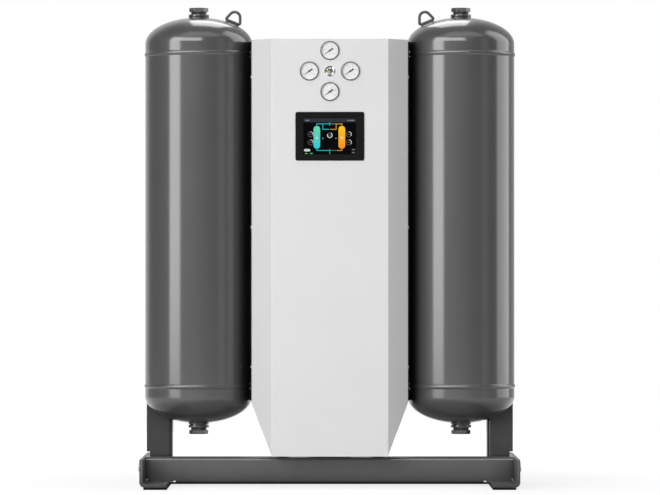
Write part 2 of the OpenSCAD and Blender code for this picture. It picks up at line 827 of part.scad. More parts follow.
module moisture_indicator_body() {
    rim_r = indicator_d / 2;
    floor_z = -indicator_depth + 4;
    color(steel_colour) on_front(0, gauge_z) rotate_extrude() polygon([
        [0, -indicator_depth], [indicator_body_d / 2, -indicator_depth], [indicator_body_d / 2, 0],
        [rim_r, 0], [rim_r, cone_z], [lens_r + lens_rim, indicator_proud],
        [lens_r, indicator_proud], [lens_r, lens_seat_z], [indicator_bore_r, lens_seat_z],
        [indicator_bore_r, floor_z], [0, floor_z]]);
}

module moisture_indicator_lens() {
    color([0.9, 0.95, 0.95, 0.4]) on_front(0, gauge_z) translate([0, 0, lens_seat_z])
        cylinder(r = lens_r - seat_gap, h = lens_t);
}

module moisture_indicator_element() {
    low = -indicator_depth + 4;
    color("#b7b32a") on_front(0, gauge_z) translate([0, 0, low])
        cylinder(r = indicator_bore_r - seat_gap, h = lens_seat_z - seat_gap - low);
}

// Air path behind the hood

// Block with pipes to both vessels and a threaded port at the back
module manifold(level, block_w, block_h) {
    translate([0, 0, level]) difference() {
        union() {
            cube([block_w, block_h, block_h], center = true);
            translate([-nozzle_end_x, 0, 0]) rotate([0, 90, 0]) cylinder(d = nozzle_od, h = 2 * nozzle_end_x);
            rotate([-90, 0, 0]) cylinder(d = port_od, h = port_reach);
        }
        for (side = [-1, 1]) on_side(side) translate([block_w / 2 - over, 0, 0]) rotate([0, 90, 0])
            cylinder(d = nozzle_bore, h = nozzle_end_x);
        translate([0, port_reach - port_depth, 0]) rotate([-90, 0, 0])
            cylinder(d = port_bore, h = port_depth + over);
    }
}

module lower_manifold() {
    color("#8d9093") manifold(lower_nozzle_z, lower_block_w, lower_block_h);
}

module upper_manifold() {
    color("#8d9093") manifold(upper_nozzle_z, upper_block_w, upper_block_h);
}

exhaust_top_z = lower_nozzle_z - lower_block_h / 2;
muffler_top_z = exhaust_top_z - exhaust_h;

// Valve body under the lower manifold, with its piston actuator to the back
module exhaust_valve(side) {
    actuator_d = 0.9 * exhaust_d;
    actuator_length = 1.6 * exhaust_d;
    color("#6d7073") on_side(side) translate([exhaust_x, 0, muffler_top_z]) {
        cylinder(d = exhaust_d, h = exhaust_h);
        translate([0, 0, exhaust_h / 2]) rotate([-90, 0, 0])
            cylinder(d = actuator_d, h = actuator_length);
    }
}

module muffler(side) {
    cap_h = muffler_d / 6;
    color("#2f3a52") on_side(side) translate([exhaust_x, 0, muffler_top_z - muffler_length])
        rotate_extrude() polygon(concat(
            [[0, 0], [muffler_d / 2 - cap_h, 0]],
            [for (i = [1:8]) let (a = 90 * i / 8)
                [muffler_d / 2 - cap_h + cap_h * sin(a), cap_h - cap_h * cos(a)]],
            [[muffler_d / 2, muffler_length - cap_h], [exhaust_d / 2, muffler_length], [0, muffler_length]]));
}

// Needle valve on the back of the upper manifold's underside
module purge_valve() {
    valve_d = 30;
    valve_h = 34;
    knob_d = 26;
    knob_h = 18;
    spindle_d = 8;
    spindle_h = 10;
    color(brass_colour) translate([0, 0, upper_nozzle_z - upper_block_h / 2]) mirror([0, 0, 1]) {
        hex_bar(valve_d, valve_h);
        cylinder(d = spindle_d, h = valve_h + spindle_h + tiny);
        translate([0, 0, valve_h + spindle_h]) cylinder(d = knob_d, h = knob_h);
    }
}

// Bar between the struts with a row of solenoid pilot valves
module pilot_valve_bank() {
    bar_w = 2 * strut_x - strut_size;
    bar_h = 50;
    bar_t = 16;
    coil_w = 28;
    coil_depth = 34;
    coil_h = 40;
    coil_pitch = 46;
    coils = 4;
    color(dark_colour) translate([0, strut_y, pilot_z]) {
        cube([bar_w, bar_t, bar_h], center = true);
        for (i = [0:coils - 1])
            translate([(i - (coils - 1) / 2) * coil_pitch - coil_w / 2, bar_t / 2 - tiny, -coil_h / 2])
                cube([coil_w, coil_depth, coil_h]);
    }
}

rail(-1);  // left_rail
rail(1);  // right_rail
foot_pad(-1);  // left_foot_pad
foot_pad(1);  // right_foot_pad
cross_beam();
post(-1);  // left_post
post(1);  // right_post
frame_bolts();
vessel(-1);  // left_vessel
vessel(1);  // right_vessel
lifting_eye(-1);  // left_lifting_eye
lifting_eye(1);  // right_lifting_eye
fill_coupling(-1);  // left_fill_coupling
fill_coupling(1);  // right_fill_coupling
drain_coupling(-1);  // left_drain_coupling
drain_coupling(1);  // right_drain_coupling
fill_plug(-1);  // left_fill_plug
fill_plug(1);  // right_fill_plug
drain_plug(-1);  // left_drain_plug
drain_plug(1);  // right_drain_plug
desiccant(-1);  // left_desiccant
desiccant(1);  // right_desiccant
bed_screen(-1, upper_screen_z - bed_screen_t);  // left_upper_screen
bed_screen(1, upper_screen_z - bed_screen_t);  // right_upper_screen
bed_screen(-1, lower_screen_z);  // left_lower_screen
bed_screen(1, lower_screen_z);  // right_lower_screen
hood();
strut(-1);  // left_strut
strut(1);  // right_strut
hood_screws();
hmi_housing();
hmi_screen();
gauge_case(gauge_turns[0]);  // gauge_case_top
gauge_case(gauge_turns[1]);  // gauge_case_left
gauge_case(gauge_turns[2]);  // gauge_case_right
gauge_case(gauge_turns[3]);  // gauge_case_bottom
gauge_dial(gauge_turns[0]);  // gauge_dial_top
gauge_dial(gauge_turns[1]);  // gauge_dial_left
gauge_dial(gauge_turns[2]);  // gauge_dial_right
gauge_dial(gauge_turns[3]);  // gauge_dial_bottom
gauge_pointer(gauge_turns[0]);  // gauge_pointer_top
gauge_pointer(gauge_turns[1]);  // gauge_pointer_left
gauge_pointer(gauge_turns[2]);  // gauge_pointer_right
gauge_pointer(gauge_turns[3]);  // gauge_pointer_bottom
gauge_window(gauge_turns[0]);  // gauge_window_top
gauge_window(gauge_turns[1]);  // gauge_window_left
gauge_window(gauge_turns[2]);  // gauge_window_right
gauge_window(gauge_turns[3]);  // gauge_window_bottom
moisture_indicator_body();
moisture_indicator_lens();
moisture_indicator_element();
lower_manifold();
upper_manifold();
exhaust_valve(-1);  // left_exhaust_valve
exhaust_valve(1);  // right_exhaust_valve
muffler(-1);  // left_muffler
muffler(1);  // right_muffler
purge_valve();
pilot_valve_bank();
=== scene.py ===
import math

import bmesh
import bpy
from mathutils import Matrix, Vector


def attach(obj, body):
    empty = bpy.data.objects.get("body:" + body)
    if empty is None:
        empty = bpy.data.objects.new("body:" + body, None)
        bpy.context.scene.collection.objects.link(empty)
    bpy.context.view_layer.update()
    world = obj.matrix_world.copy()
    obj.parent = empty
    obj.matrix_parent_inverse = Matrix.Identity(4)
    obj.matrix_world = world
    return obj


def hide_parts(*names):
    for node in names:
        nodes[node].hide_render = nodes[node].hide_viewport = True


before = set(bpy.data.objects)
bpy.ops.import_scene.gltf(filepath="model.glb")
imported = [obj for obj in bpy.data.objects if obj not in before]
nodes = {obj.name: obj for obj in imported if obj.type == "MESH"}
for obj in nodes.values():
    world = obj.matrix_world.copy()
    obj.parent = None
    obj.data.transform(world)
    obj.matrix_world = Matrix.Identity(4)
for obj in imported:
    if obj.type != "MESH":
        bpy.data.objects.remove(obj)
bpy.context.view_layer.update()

# Sizes of the solids, in millimetres, in the shared frame
MM = 0.001
SIDES = (("left", -1), ("right", 1))
VESSEL_X = 397.5
VESSEL_R = 161.95
VESSEL_WALL = 6.4
HEAD_RISE = VESSEL_R / 2
LOW_TANGENT = 270.0
HIGH_TANGENT = 1338.0
GIRTH_WELDS = (302.0, 1306.0)
WELD_HALF = 7.0
WELD_RISE = 2.2
NOZZLES = (340.0, 1268.0)
NOZZLE_R = 24.15
COUPLING_R = 27.0
BAND_R = 31.0
BAND_H = 8.0
PLUG_BORE_R = 24.2
PLUG_HEX = 50.8
PLUG_HEAD = 12.5
PLUG_NECK = 7.5
HOOD_FRONT = -190.0
HOOD_BACK = -40.0
HOOD_HALF = 235.413
HOOD_FRONT_HALF = 175.0
HOOD_SIDE_Y = HOOD_FRONT + HOOD_HALF - HOOD_FRONT_HALF
HOOD_LOW = 98.5
HOOD_SHOULDER = 256.0
HOOD_TOP = 1345.0
HOOD_SHEET = 2.0
PANEL_Z = 1053.0
GAUGE_Z = 1248.0
GAUGES = {"top": (0.0, 61.5), "left": (-61.5, 0.0), "right": (61.5, 0.0), "bottom": (0.0, -61.5)}
GAUGE_ZERO = 215.0
GAUGE_SWEEP = 250.0
RAIL_OUTER = 565.5
RAIL_WIDTH = 81.5
RAIL_HEIGHT = 83.0
RAIL_THICK = 10.0
RAIL_BEND = 16.0
RAIL_HALF_LENGTH = 300.0
PAD_HEIGHT = 6.5
ANCHOR_INSET = 50.0
ANCHOR_Y = 260.0
ANCHOR_HOLE_R = 7.0
BOLT_Y = -32.0
BOLT_Z = 57.0
BOLT_R = 8.0
BOLT_HOLE_R = 8.5
BOLT_ACROSS = 24.0
BOLT_HEAD = 10.0
BOLT_NUT = 13.0
BOLT_GRIP = 18.0
BOLT_PLAIN_END = 30.0
BOLT_END = 40.0
WASHER_R = 15.0
WASHER_T = 3.0
SCREW_LEVELS = (360.5, 782.5, 1235.0)
SCREW_R = 3.0
SCREW_END = 15.0
SCREW_ACROSS = 10.0
SCREW_NUT = (8.0, 13.0)


# Node materials: every pattern is in object metres

class Finish:
    """Principled material whose colour, roughness and relief come from noise."""

    def __init__(self, name, colour, rough, **sockets):
        self.material = bpy.data.materials.new(name)
        self.material.use_nodes = True
        self.tree = self.material.node_tree
        self.shader = self.tree.nodes["Principled BSDF"]
        self.colour = colour
        self.rough = rough
        self.put("Base Color", (*colour, 1.0))
        self.put("Roughness", rough)
        for label, value in sockets.items():
            self.put(label.replace("_", " ").title().replace("Ior", "IOR"), value)
        self.place = self.node("ShaderNodeTexCoord").outputs["Object"]

    def node(self, kind, **settings):
        made = self.tree.nodes.new(kind)
        for label, value in settings.items():
            setattr(made, label, value)
        return made

    def put(self, label, value):
        self.shader.inputs[label].default_value = value

    def join(self, source, target):
        self.tree.links.new(source, target)

    def noise(self, scale, detail, stretch=(1, 1, 1)):
        mapping = self.node("ShaderNodeMapping")
        mapping.inputs["Scale"].default_value = stretch
        self.join(self.place, mapping.inputs["Vector"])
        pattern = self.node("ShaderNodeTexNoise")
        pattern.inputs["Scale"].default_value = scale
        pattern.inputs["Detail"].default_value = detail
        self.join(mapping.outputs["Vector"], pattern.inputs["Vector"])
        return pattern.outputs["Fac"]

    def spread(self, source, low, high, start=0.3, end=0.7):
        change = self.node("ShaderNodeMapRange")
        for label, value in (("From Min", start), ("From Max", end), ("To Min", low), ("To Max", high)):
            change.inputs[label].default_value = value
        self.join(source, change.inputs["Value"])
        return change.outputs["Result"]

    def ramp(self, source, *stops):
        made = self.node("ShaderNodeValToRGB")
        band = made.color_ramp
        while len(band.elements) < len(stops):
            band.elements.new(0.5)
        for element, (position, colour) in zip(band.elements, stops):
            element.position = position
            element.color = (*colour, 1.0)
        self.join(source, made.inputs["Fac"])
        return made.outputs["Color"]

    def mottle(self, scale, amount, tint=(1, 1, 1)):
        low = [c * (1 - amount) for c in self.colour]
        high = [min(c * (1 + amount) * t, 1.0) for c, t in zip(self.colour, tint)]
        colour = self.ramp(self.noise(scale, 4.0), (0.3, low), (0.7, high))
        self.join(colour, self.shader.inputs["Base Color"])
        return self

    def paint_shade_into_hollows(self, reach, low, behind=None):
        """Painted shade: darkens the colour in inner corners, where less light falls; with behind, only in
        those behind that depth.
        """
        open_sky = self.node("ShaderNodeAmbientOcclusion", samples=8)
        open_sky.inputs["Distance"].default_value = reach * MM
        level = self.spread(open_sky.outputs["AO"], low, 1.0, 0.3, 0.95)
        both = self.node("ShaderNodeMix", data_type="RGBA", blend_type="MULTIPLY")
        both.inputs[0].default_value = 1.0
        if behind:
            split = self.node("ShaderNodeSeparateXYZ")
            self.join(self.place, split.inputs["Vector"])
            far = self.spread(split.outputs["Y"], 0.0, 1.0, behind * MM, (behind + 4) * MM)
            self.join(far, both.inputs[0])
        target = self.shader.inputs["Base Color"]
        self.join(target.links[0].from_socket, both.inputs[6])
        self.join(level, both.inputs[7])
        self.join(both.outputs[2], target)
        return self

    def scuff(self, scale, amount):
        rough = self.spread(self.noise(scale, 4.0), self.rough - amount, self.rough + amount)
        self.join(rough, self.shader.inputs["Roughness"])
        return self

    def relief(self, scale, depth, detail=2.0, stretch=(1, 1, 1)):
        bump = self.node("ShaderNodeBump")
        bump.inputs["Strength"].default_value = 1.0
        bump.inputs["Distance"].default_value = depth * MM
        self.join(self.noise(scale, detail, stretch), bump.inputs["Height"])
        self.join(bump.outputs["Normal"], self.shader.inputs["Normal"])
        return self


FINISH = {
    # Base paint, with painted shade that darkens its inner corners
    "base_paint": Finish("base_paint", (0.120, 0.120, 0.122), 0.36, specular_ior_level=0.25,
                         coat_weight=0.15, coat_roughness=0.2)
        .mottle(14, 0.05).paint_shade_into_hollows(100, 0.12).scuff(40, 0.05).relief(700, 0.012),
    # Cross beam: a darker copy of the base paint, as painted shade, with painted shade in its corners near
    # the rails
    "beam_paint_shade_darkened": Finish("beam_paint_shade_darkened", (0.106, 0.106, 0.108), 0.36, specular_ior_level=0.1,
                         coat_weight=0.7, coat_roughness=0.12)
        .mottle(14, 0.05).paint_shade_into_hollows(80, 0.15).scuff(40, 0.05).relief(700, 0.012),
    # Posts: a much darker copy of the base paint, as painted shade under the vessels, with strong painted
    # shade in their corners
    "post_paint_shade_darkened": Finish("post_paint_shade_darkened", (0.048, 0.048, 0.050), 0.36, specular_ior_level=0.1,
                           coat_weight=0.7, coat_roughness=0.12)
        .mottle(14, 0.05).paint_shade_into_hollows(250, 0.15).scuff(40, 0.05).relief(700, 0.012),
    "pad_rubber": Finish("pad_rubber", (0.008, 0.008, 0.008), 0.75, specular_ior_level=0.1)
        .mottle(60, 0.25).scuff(90, 0.1).relief(1500, 0.05),
    "plated_steel": Finish("plated_steel", (0.58, 0.58, 0.57), 0.3, metallic=1.0)
        .mottle(160, 0.12, (1.0, 0.99, 0.95)).scuff(220, 0.1).relief(2600, 0.004),
    # Vessel paint, with painted shade that darkens it in the crevices by the hood
    "vessel_paint": Finish("vessel_paint", (0.075, 0.075, 0.076), 0.42, specular_ior_level=0.25,
                           coat_weight=1.0, coat_roughness=0.13)
        .mottle(9, 0.03).paint_shade_into_hollows(45, 0.15).scuff(30, 0.03).relief(330, 0.006),
    # Plug steel, with painted shade that darkens the plugs under the vessels and their hollows
    "plug_steel": Finish("plug_steel", (0.082, 0.082, 0.083), 0.34, coat_weight=0.3, coat_roughness=0.2)
        .mottle(80, 0.15).paint_shade_into_hollows(60, 0.35).scuff(120, 0.08).relief(1200, 0.01),
    "desiccant_beads": Finish("desiccant_beads", (0.80, 0.78, 0.72), 0.7)
        .mottle(220, 0.12).relief(300, 1.2),
    "screen_steel": Finish("screen_steel", (0.55, 0.55, 0.56), 0.35, metallic=1.0)
        .mottle(60, 0.1).scuff(150, 0.08).relief(900, 0.01, 2.0, (1, 12, 1)),
    # Hood paint, with strong painted shade on its sides behind the chamfers, in the gaps to the vessels
    "hood_paint": Finish("hood_paint", (0.785, 0.785, 0.785), 0.45, specular_ior_level=0.2)
        .mottle(5, 0.012).paint_shade_into_hollows(90, 0.03, -134).scuff(60, 0.04).relief(1300, 0.012),
    "panel_plastic": Finish("panel_plastic", (0.004, 0.004, 0.0045), 0.5, specular_ior_level=0.08)
        .mottle(70, 0.12).scuff(110, 0.06).relief(2400, 0.02),
    "panel_glass": Finish("panel_glass", (0.0016, 0.0017, 0.002), 0.06, specular_ior_level=0.12)
        .mottle(40, 0.2).scuff(25, 0.02),
    "gauge_black": Finish("gauge_black", (0.125, 0.125, 0.128), 0.3)
        .mottle(90, 0.08).scuff(140, 0.06).relief(1800, 0.006),
    "dial_white": Finish("dial_white", (0.86, 0.86, 0.85), 0.5)
        .mottle(120, 0.02).scuff(200, 0.05).relief(3000, 0.003),
    "pointer_black": Finish("pointer_black", (0.010, 0.010, 0.010), 0.4)
        .mottle(300, 0.2).scuff(300, 0.08),
    "window_glass": Finish("window_glass", (0.96, 0.98, 0.98), 0.03, alpha=0.035)
        .scuff(60, 0.015),
    "bright_chrome": Finish("bright_chrome", (0.78, 0.78, 0.79), 0.09, metallic=1.0)
        .mottle(90, 0.03).scuff(160, 0.03),
    "indicator_green": Finish("indicator_green", (0.50, 0.50, 0.10), 0.6).relief(2500, 0.03),
    "cast_aluminium": Finish("cast_aluminium", (0.56, 0.57, 0.58), 0.45, metallic=1.0)
        .mottle(45, 0.08).scuff(90, 0.08).relief(950, 0.06, 4.0),
    "muffler_plastic": Finish("muffler_plastic", (0.030, 0.042, 0.085), 0.5)
        .mottle(80, 0.15).scuff(100, 0.07).relief(1600, 0.03),
    "valve_brass": Finish("valve_brass", (0.70, 0.52, 0.22), 0.28, metallic=1.0)
        .mottle(70, 0.08, (1.0, 0.97, 0.9)).scuff(200, 0.08).relief(1500, 0.006, 2.0, (1, 1, 8)),
}


# Shapes, in millimetres

class Form:
    """Points and faces of one piece, gathered from closed parts."""

    def __init__(self):
        self.points = []
        self.faces = []
        self.paints = []

    def add(self, part, place=Matrix.Identity(4), paint=0):
        points, faces = part
        start = len(self.points)
        self.points += [place @ Vector(p) for p in points]
        self.faces += [[start + i for i in face] for face in faces]
        self.paints += paint if isinstance(paint, list) else [paint] * len(faces)
        return self


def part_of(mesh):
    """Points and faces of a mesh."""
    return [v.co.copy() for v in mesh.vertices], [list(p.vertices) for p in mesh.polygons]


def face_outwards(mesh):
    """Turns the faces of a closed mesh outwards."""
    work = bmesh.new()
    work.from_mesh(mesh)
    bmesh.ops.recalc_face_normals(work, faces=work.faces)
    work.to_mesh(mesh)
    work.free()


def build(name, form, slot, stands_for=(), body="frame", finishes=None, sharp=32.0, weighted=False):
    """Makes a piece of a form, rides it on its body and gives it its finish."""
    mesh = bpy.data.meshes.new(name)
    mesh.from_pydata([p * MM for p in form.points], [], form.faces)
    mesh.polygons.foreach_set("material_index", form.paints)
    for finish in finishes or [FINISH[slot].material]:
        mesh.materials.append(finish)
    face_outwards(mesh)
    mesh.shade_smooth()
    mesh.set_sharp_from_angle(angle=math.radians(sharp))
    piece = bpy.data.objects.new(name, mesh)
    bpy.context.scene.collection.objects.link(piece)
    if weighted:
        piece.modifiers.new("flat_faces", "WEIGHTED_NORMAL").keep_sharp = True
    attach(piece, body)
    if stands_for:
        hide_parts(*stands_for)
    return piece


def dress(node, slot, edge=0.0):
    """Gives a solid its finish, and rounds its edges by a modifier."""
    piece = nodes[node]
    for place in piece.material_slots:
        place.material = FINISH[slot].material
    if edge:
        piece.modifiers.new("join", "WELD").merge_threshold = 0.00001
        rounding = piece.modifiers.new("edges", "BEVEL")
        rounding.width = edge * MM
        rounding.segments = 2
        rounding.limit_method = "ANGLE"
        rounding.angle_limit = math.radians(40)
        piece.modifiers.new("flat_faces", "WEIGHTED_NORMAL").keep_sharp = True
    piece.data.shade_smooth()


def skin(rings, loop=False):
    """Faces between rings of points, closed at both ends or joined to a loop."""
    count = len(rings[0])
    points = [p for ring in rings for p in ring]
    faces = []
    for i in range(len(rings) if loop else len(rings) - 1):
        low = i * count
        high = (i + 1) % len(rings) * count
        for j in range(count):
            k = (j + 1) % count
            faces.append((low + j, low + k, high + k, high + j))
    if not loop:
        faces.append(tuple(reversed(range(count))))
        faces.append(tuple(range(len(points) - count, len(points))))
    return points, faces


def turned(profile, segments=96, loop=False, shape=None):
    """Turned part: the profile is a list of (radius, height)."""
    rings = []
    for radius, height in profile:
        ring = []
        for j in range(segments):
            angle = 2 * math.pi * j / segments
            r = shape(angle, radius, height) if shape else radius
            ring.append((r * math.cos(angle), r * math.sin(angle), height))
        rings.append(ring)
    return skin(rings, loop)


def arc(x, y, radius, start, end, steps=4):
    """Points on an arc, with angles in degrees."""
    turns = [math.radians(start + (end - start) * i / steps) for i in range(steps + 1)]
    return [(x + radius * math.cos(a), y + radius * math.sin(a)) for a in turns]


def tube(path, radius, across, sides=16, closed=False, ripple=0.0, ripples=1):
    """Round bar along a path that runs about square to the direction 'across'."""
    across = Vector(across).normalized()
    path = [Vector(p) for p in path]
    count = len(path)
    rings = []
    for i, point in enumerate(path):
        after = path[(i + 1) % count] if closed else path[min(i + 1, count - 1)]
        before = path[i - 1] if closed else path[max(i - 1, 0)]
        side = (after - before).normalized().cross(across)
        size = radius + ripple * math.cos(2 * math.pi * ripples * i / count)
        ring = []
        for j in range(sides):
            angle = 2 * math.pi * j / sides
            ring.append(point + across * size * math.cos(angle) + side * size * math.sin(angle))
        rings.append(ring)
    return skin(rings, closed)


def prism(outline, low, high):
    """Upright bar with a given outline."""
    return skin([[(x, y, low) for x, y in outline], [(x, y, high) for x, y in outline]])


def block(x0, x1, y0, y1, z0, z1):
    return prism([(x0, y0), (x1, y0), (x1, y1), (x0, y1)], z0, z1)


def eased(part, width):
    """The same part with its sharp edges rounded."""
    work = bmesh.new()
    verts = [work.verts.new(p) for p in part[0]]
    for face in part[1]:
        work.faces.new([verts[i] for i in face])
    bmesh.ops.recalc_face_normals(work, faces=work.faces)
    sharp = math.radians(30)
    edges = [e for e in work.edges if e.is_manifold and e.calc_face_angle() > sharp]
    bmesh.ops.bevel(work, geom=edges, offset=width, segments=3, profile=0.5, affect="EDGES",
                    clamp_overlap=True)
    work.verts.index_update()
    points = [v.co.copy() for v in work.verts]
    faces = [[v.index for v in face.verts] for face in work.faces]
    work.free()
    return points, faces


def round_rectangle(width, height, corner, steps=6):
    """Outline about the origin, with round corners."""
    points = []
    for k, (sx, sy) in enumerate(((1, 1), (-1, 1), (-1, -1), (1, -1))):
        x = sx * (width / 2 - corner)
        y = sy * (height / 2 - corner)
        points += arc(x, y, corner, 90 * k, 90 * k + 90, steps)
    return points


def hex_radius(angle, across, power=48):
    """Radius of a hexagon with slightly round corners, one of them at angle 0."""
    total = 0.0
    for k in range(6):
        total += max(math.cos(angle - math.radians(30 + 60 * k)), 0.0) ** power
    return across / 2 * total ** (-1 / power)


def hexagon(across, low, high, easy_low=True, easy_high=True, slope=30):
    """Hexagonal bar with the turned chamfers of a bolt head."""
    inner = 0.965 * across / 2
    outer = 1.17 * across / 2
    rise = (outer - inner) * math.tan(math.radians(slope))
    steps = 5
    cone = [(inner + (outer - inner) * i / steps, rise * i / steps) for i in range(steps + 1)]
    rows = [(r, low + z) for r, z in cone] if easy_low else [(outer, low)]
    rows += [(r, high - z) for r, z in reversed(cone)] if easy_high else [(outer, high)]
    return turned(rows, 144, shape=lambda a, r, z: min(r, hex_radius(a, across)))


def washer(outer, inner, low, high):
    edge = 0.4
    profile = arc(outer - edge, low + edge, edge, -90, 0, 3)
    profile += arc(outer - edge, high - edge, edge, 0, 90, 3)
    return turned(profile + [(inner, high), (inner, low)], 72, loop=True)


def threads(radius, depth, pitch, low, high, segments=72):
    """Screw thread as a bar from low to high."""
    count = max(int((high - low) / pitch * 6), 6)
    rows = [(radius, low + (high - low) * i / count) for i in range(count + 1)]

    def shape(angle, r, z):
        return r - depth * (0.5 + 0.5 * math.cos(2 * math.pi * (z - low) / pitch - angle))

    return turned(rows, segments, shape=shape)


MIRROR = Matrix.Scale(-1, 4, (1, 0, 0))


def on_side(side):
    return Matrix.Identity(4) if side > 0 else MIRROR


def on_front(x, z):
    """Local z towards the viewer, local y up, on the hood's front."""
    return Matrix.Translation((x, HOOD_FRONT, z)) @ Matrix.Rotation(math.radians(90), 4, "X")


# Vessels with their girth welds and nozzle welds

VESSEL_HOLE_R = COUPLING_R + 0.25
NOZZLE_BEAD_R = 4.0


def vessel_profile(radius, rise, hole, steps):
    """Half section of one wall face, from its lower hole up to its upper one."""
    start = math.asin(hole / radius)
    turns = [start + (math.pi / 2 - start) * i / steps for i in range(steps + 1)]
    low = [(radius * math.sin(a), LOW_TANGENT - rise * math.cos(a)) for a in turns]
    high = [(radius * math.sin(a), HIGH_TANGENT + rise * math.cos(a)) for a in reversed(turns)]
    return low + high


def girth_weld(level):
    """Flat rippled bead around the vessel."""
    bead_r = (WELD_HALF ** 2 + WELD_RISE ** 2) / (2 * WELD_RISE)
    rows = []
    for i in range(-5, 6):
        z = WELD_HALF * i / 5
        rows.append((VESSEL_R + WELD_RISE - bead_r + math.sqrt(bead_r ** 2 - z * z), level + z))
    rows += [(VESSEL_R - 2, level + WELD_HALF), (VESSEL_R - 2, level - WELD_HALF)]

    def shape(angle, r, z):
        t = (z - level) / WELD_HALF
        return r + 0.2 * (1 - t * t) * math.cos(220 * angle + 2.4 * t * t)

    return turned(rows, 880, loop=True, shape=shape)


def nozzle_weld(side, level):
    """Rippled bead where a manifold's pipe meets the vessel's round wall."""
    path = []
    steps = 160
    for i in range(steps):
        angle = 2 * math.pi * i / steps
        y = (NOZZLE_R + 1) * math.sin(angle)
        z = level + (NOZZLE_R + 1) * math.cos(angle)
        path.append((-side * math.sqrt(VESSEL_R ** 2 - y * y), y, z))
    return tube(path, NOZZLE_BEAD_R, (1, 0, 0), 12, True, 0.25, 40)


def head_height(r):
    """Height of a head at radius r, below its apex."""
    return HEAD_RISE * (math.sqrt(1 - (r / VESSEL_R) ** 2) - 1)


for word, side in SIDES:
    form = Form()
    place = Matrix.Translation((side * VESSEL_X, 0, 0))
    outer = vessel_profile(VESSEL_R, HEAD_RISE, VESSEL_HOLE_R, 44)
    inner = vessel_profile(VESSEL_R - VESSEL_WALL, HEAD_RISE - VESSEL_WALL, VESSEL_HOLE_R, 14)
    form.add(turned(outer + inner[::-1], 240, loop=True), place)
    for level in GIRTH_WELDS:
        form.add(girth_weld(level), place)
    for level in NOZZLES:
        form.add(nozzle_weld(side, level), place)
    build(word + "_vessel_shell", form, "vessel_paint", [word + "_vessel"])


# Couplings and plugs

STANDOFFS = {"fill": 1.0, "drain": 5.0}
PLUG_R = 23.8
PLUG_DEPTH = 20.0


def coupling(standoff):
    """Threaded boss with a banded rim; height 0 is the head's apex."""
    top = standoff + BAND_H
    inside = -VESSEL_WALL - BAND_H
    profile = [(COUPLING_R, inside), (COUPLING_R, standoff)]
    profile += arc(BAND_R - 1.2, standoff + 1.2, 1.2, -90, 0)
    profile += arc(BAND_R - 1.6, top - 1.6, 1.6, 0, 90)
    profile += [(PLUG_BORE_R + 0.9, top), (PLUG_BORE_R, top - 0.9), (PLUG_BORE_R, inside)]
    return turned(profile, 120, loop=True)


def coupling_weld():
    """Rippled bead around the boss, on the head."""
    r = COUPLING_R + 1.4
    path = [(x, y, head_height(r) + 0.7) for x, y in arc(0, 0, r, 0, 360, 168)[:-1]]
    return tube(path, 2.6, (0, 0, 1), 10, True, 0.2, 42)


def plug(standoff):
    """Hex pipe plug, with the last turns of its thread in view."""
    face = standoff + BAND_H
    form = Form()
    form.add(turned([(PLUG_R, face - PLUG_DEPTH), (PLUG_R, face - 0.6), (PLUG_R - 0.9, face + 0.4)], 96))
    form.add(threads(PLUG_R + 0.1, 0.8, 2.2, face - 2, face + PLUG_NECK + 0.5, 96))
    form.add(hexagon(PLUG_HEX, face + PLUG_NECK, face + PLUG_NECK + PLUG_HEAD, slope=9))
    return form.points, form.faces


for word, side in SIDES:
    top = Matrix.Translation((side * VESSEL_X, 0, HIGH_TANGENT + HEAD_RISE))
    bottom = Matrix.Translation((side * VESSEL_X, 0, LOW_TANGENT - HEAD_RISE))
    bottom = bottom @ Matrix.Scale(-1, 4, (0, 0, 1))
    for use, place in (("fill", top), ("drain", bottom)):
        standoff = STANDOFFS[use]
        form = Form().add(coupling(standoff), place).add(coupling_weld(), place)
        name = word + "_" + use
        build(name + "_boss", form, "vessel_paint", [name + "_coupling"])
        build(name + "_hex_plug", Form().add(plug(standoff), place), "plug_steel", [name + "_plug"])


# Lifting eyes: bent bar with fillet welds along its foot

EYE_OFFSET = 101.5
EYE_BAR_R = 4.25
EYE_HALF_FOOT = 24.0
EYE_FOOT_H = 4.5
EYE_ARCH_R = 16.5
EYE_ARCH_H = 20.0
EYE_BEND_R = 4.4
EYE_WELD_R = 2.3
EYE_WELD_Y = 4.2
EYE_WELD_HALF = 19.0


def corner(before, at, after, radius, steps=6):
    """Points that round a corner of a path in a plane."""
    before, at, after = Vector(before), Vector(at), Vector(after)
    a = (before - at).normalized()
    b = (after - at).normalized()
    half = a.angle(b) / 2
    reach = radius / math.tan(half)
    centre = at + (a + b).normalized() * radius / math.sin(half)
    start = at + a * reach - centre
    end = at + b * reach - centre
    turn = start.angle_signed(end)
    points = []
    for i in range(steps + 1):
        points.append(centre + Matrix.Rotation(-turn * i / steps, 2) @ start)
    return points


def eye_path():
    """Closed middle line of the bar: a straight foot, two bends and an arch."""
    reach = (EYE_HALF_FOOT, EYE_ARCH_H - EYE_FOOT_H)
    lean = 90 - math.degrees(math.atan2(reach[1], reach[0]))
    lean -= math.degrees(math.asin(EYE_ARCH_R / math.hypot(*reach)))
    bow = arc(0, EYE_ARCH_H, EYE_ARCH_R, lean, 180 - lean, 28)
    right = (EYE_HALF_FOOT, EYE_FOOT_H)
    left = (-EYE_HALF_FOOT, EYE_FOOT_H)
    path = [(0, EYE_FOOT_H)] + corner((0, EYE_FOOT_H), right, bow[0], EYE_BEND_R)
    path += bow + corner(bow[-1], left, (0, EYE_FOOT_H), EYE_BEND_R)
    return [(p[0], 0, p[1]) for p in path]


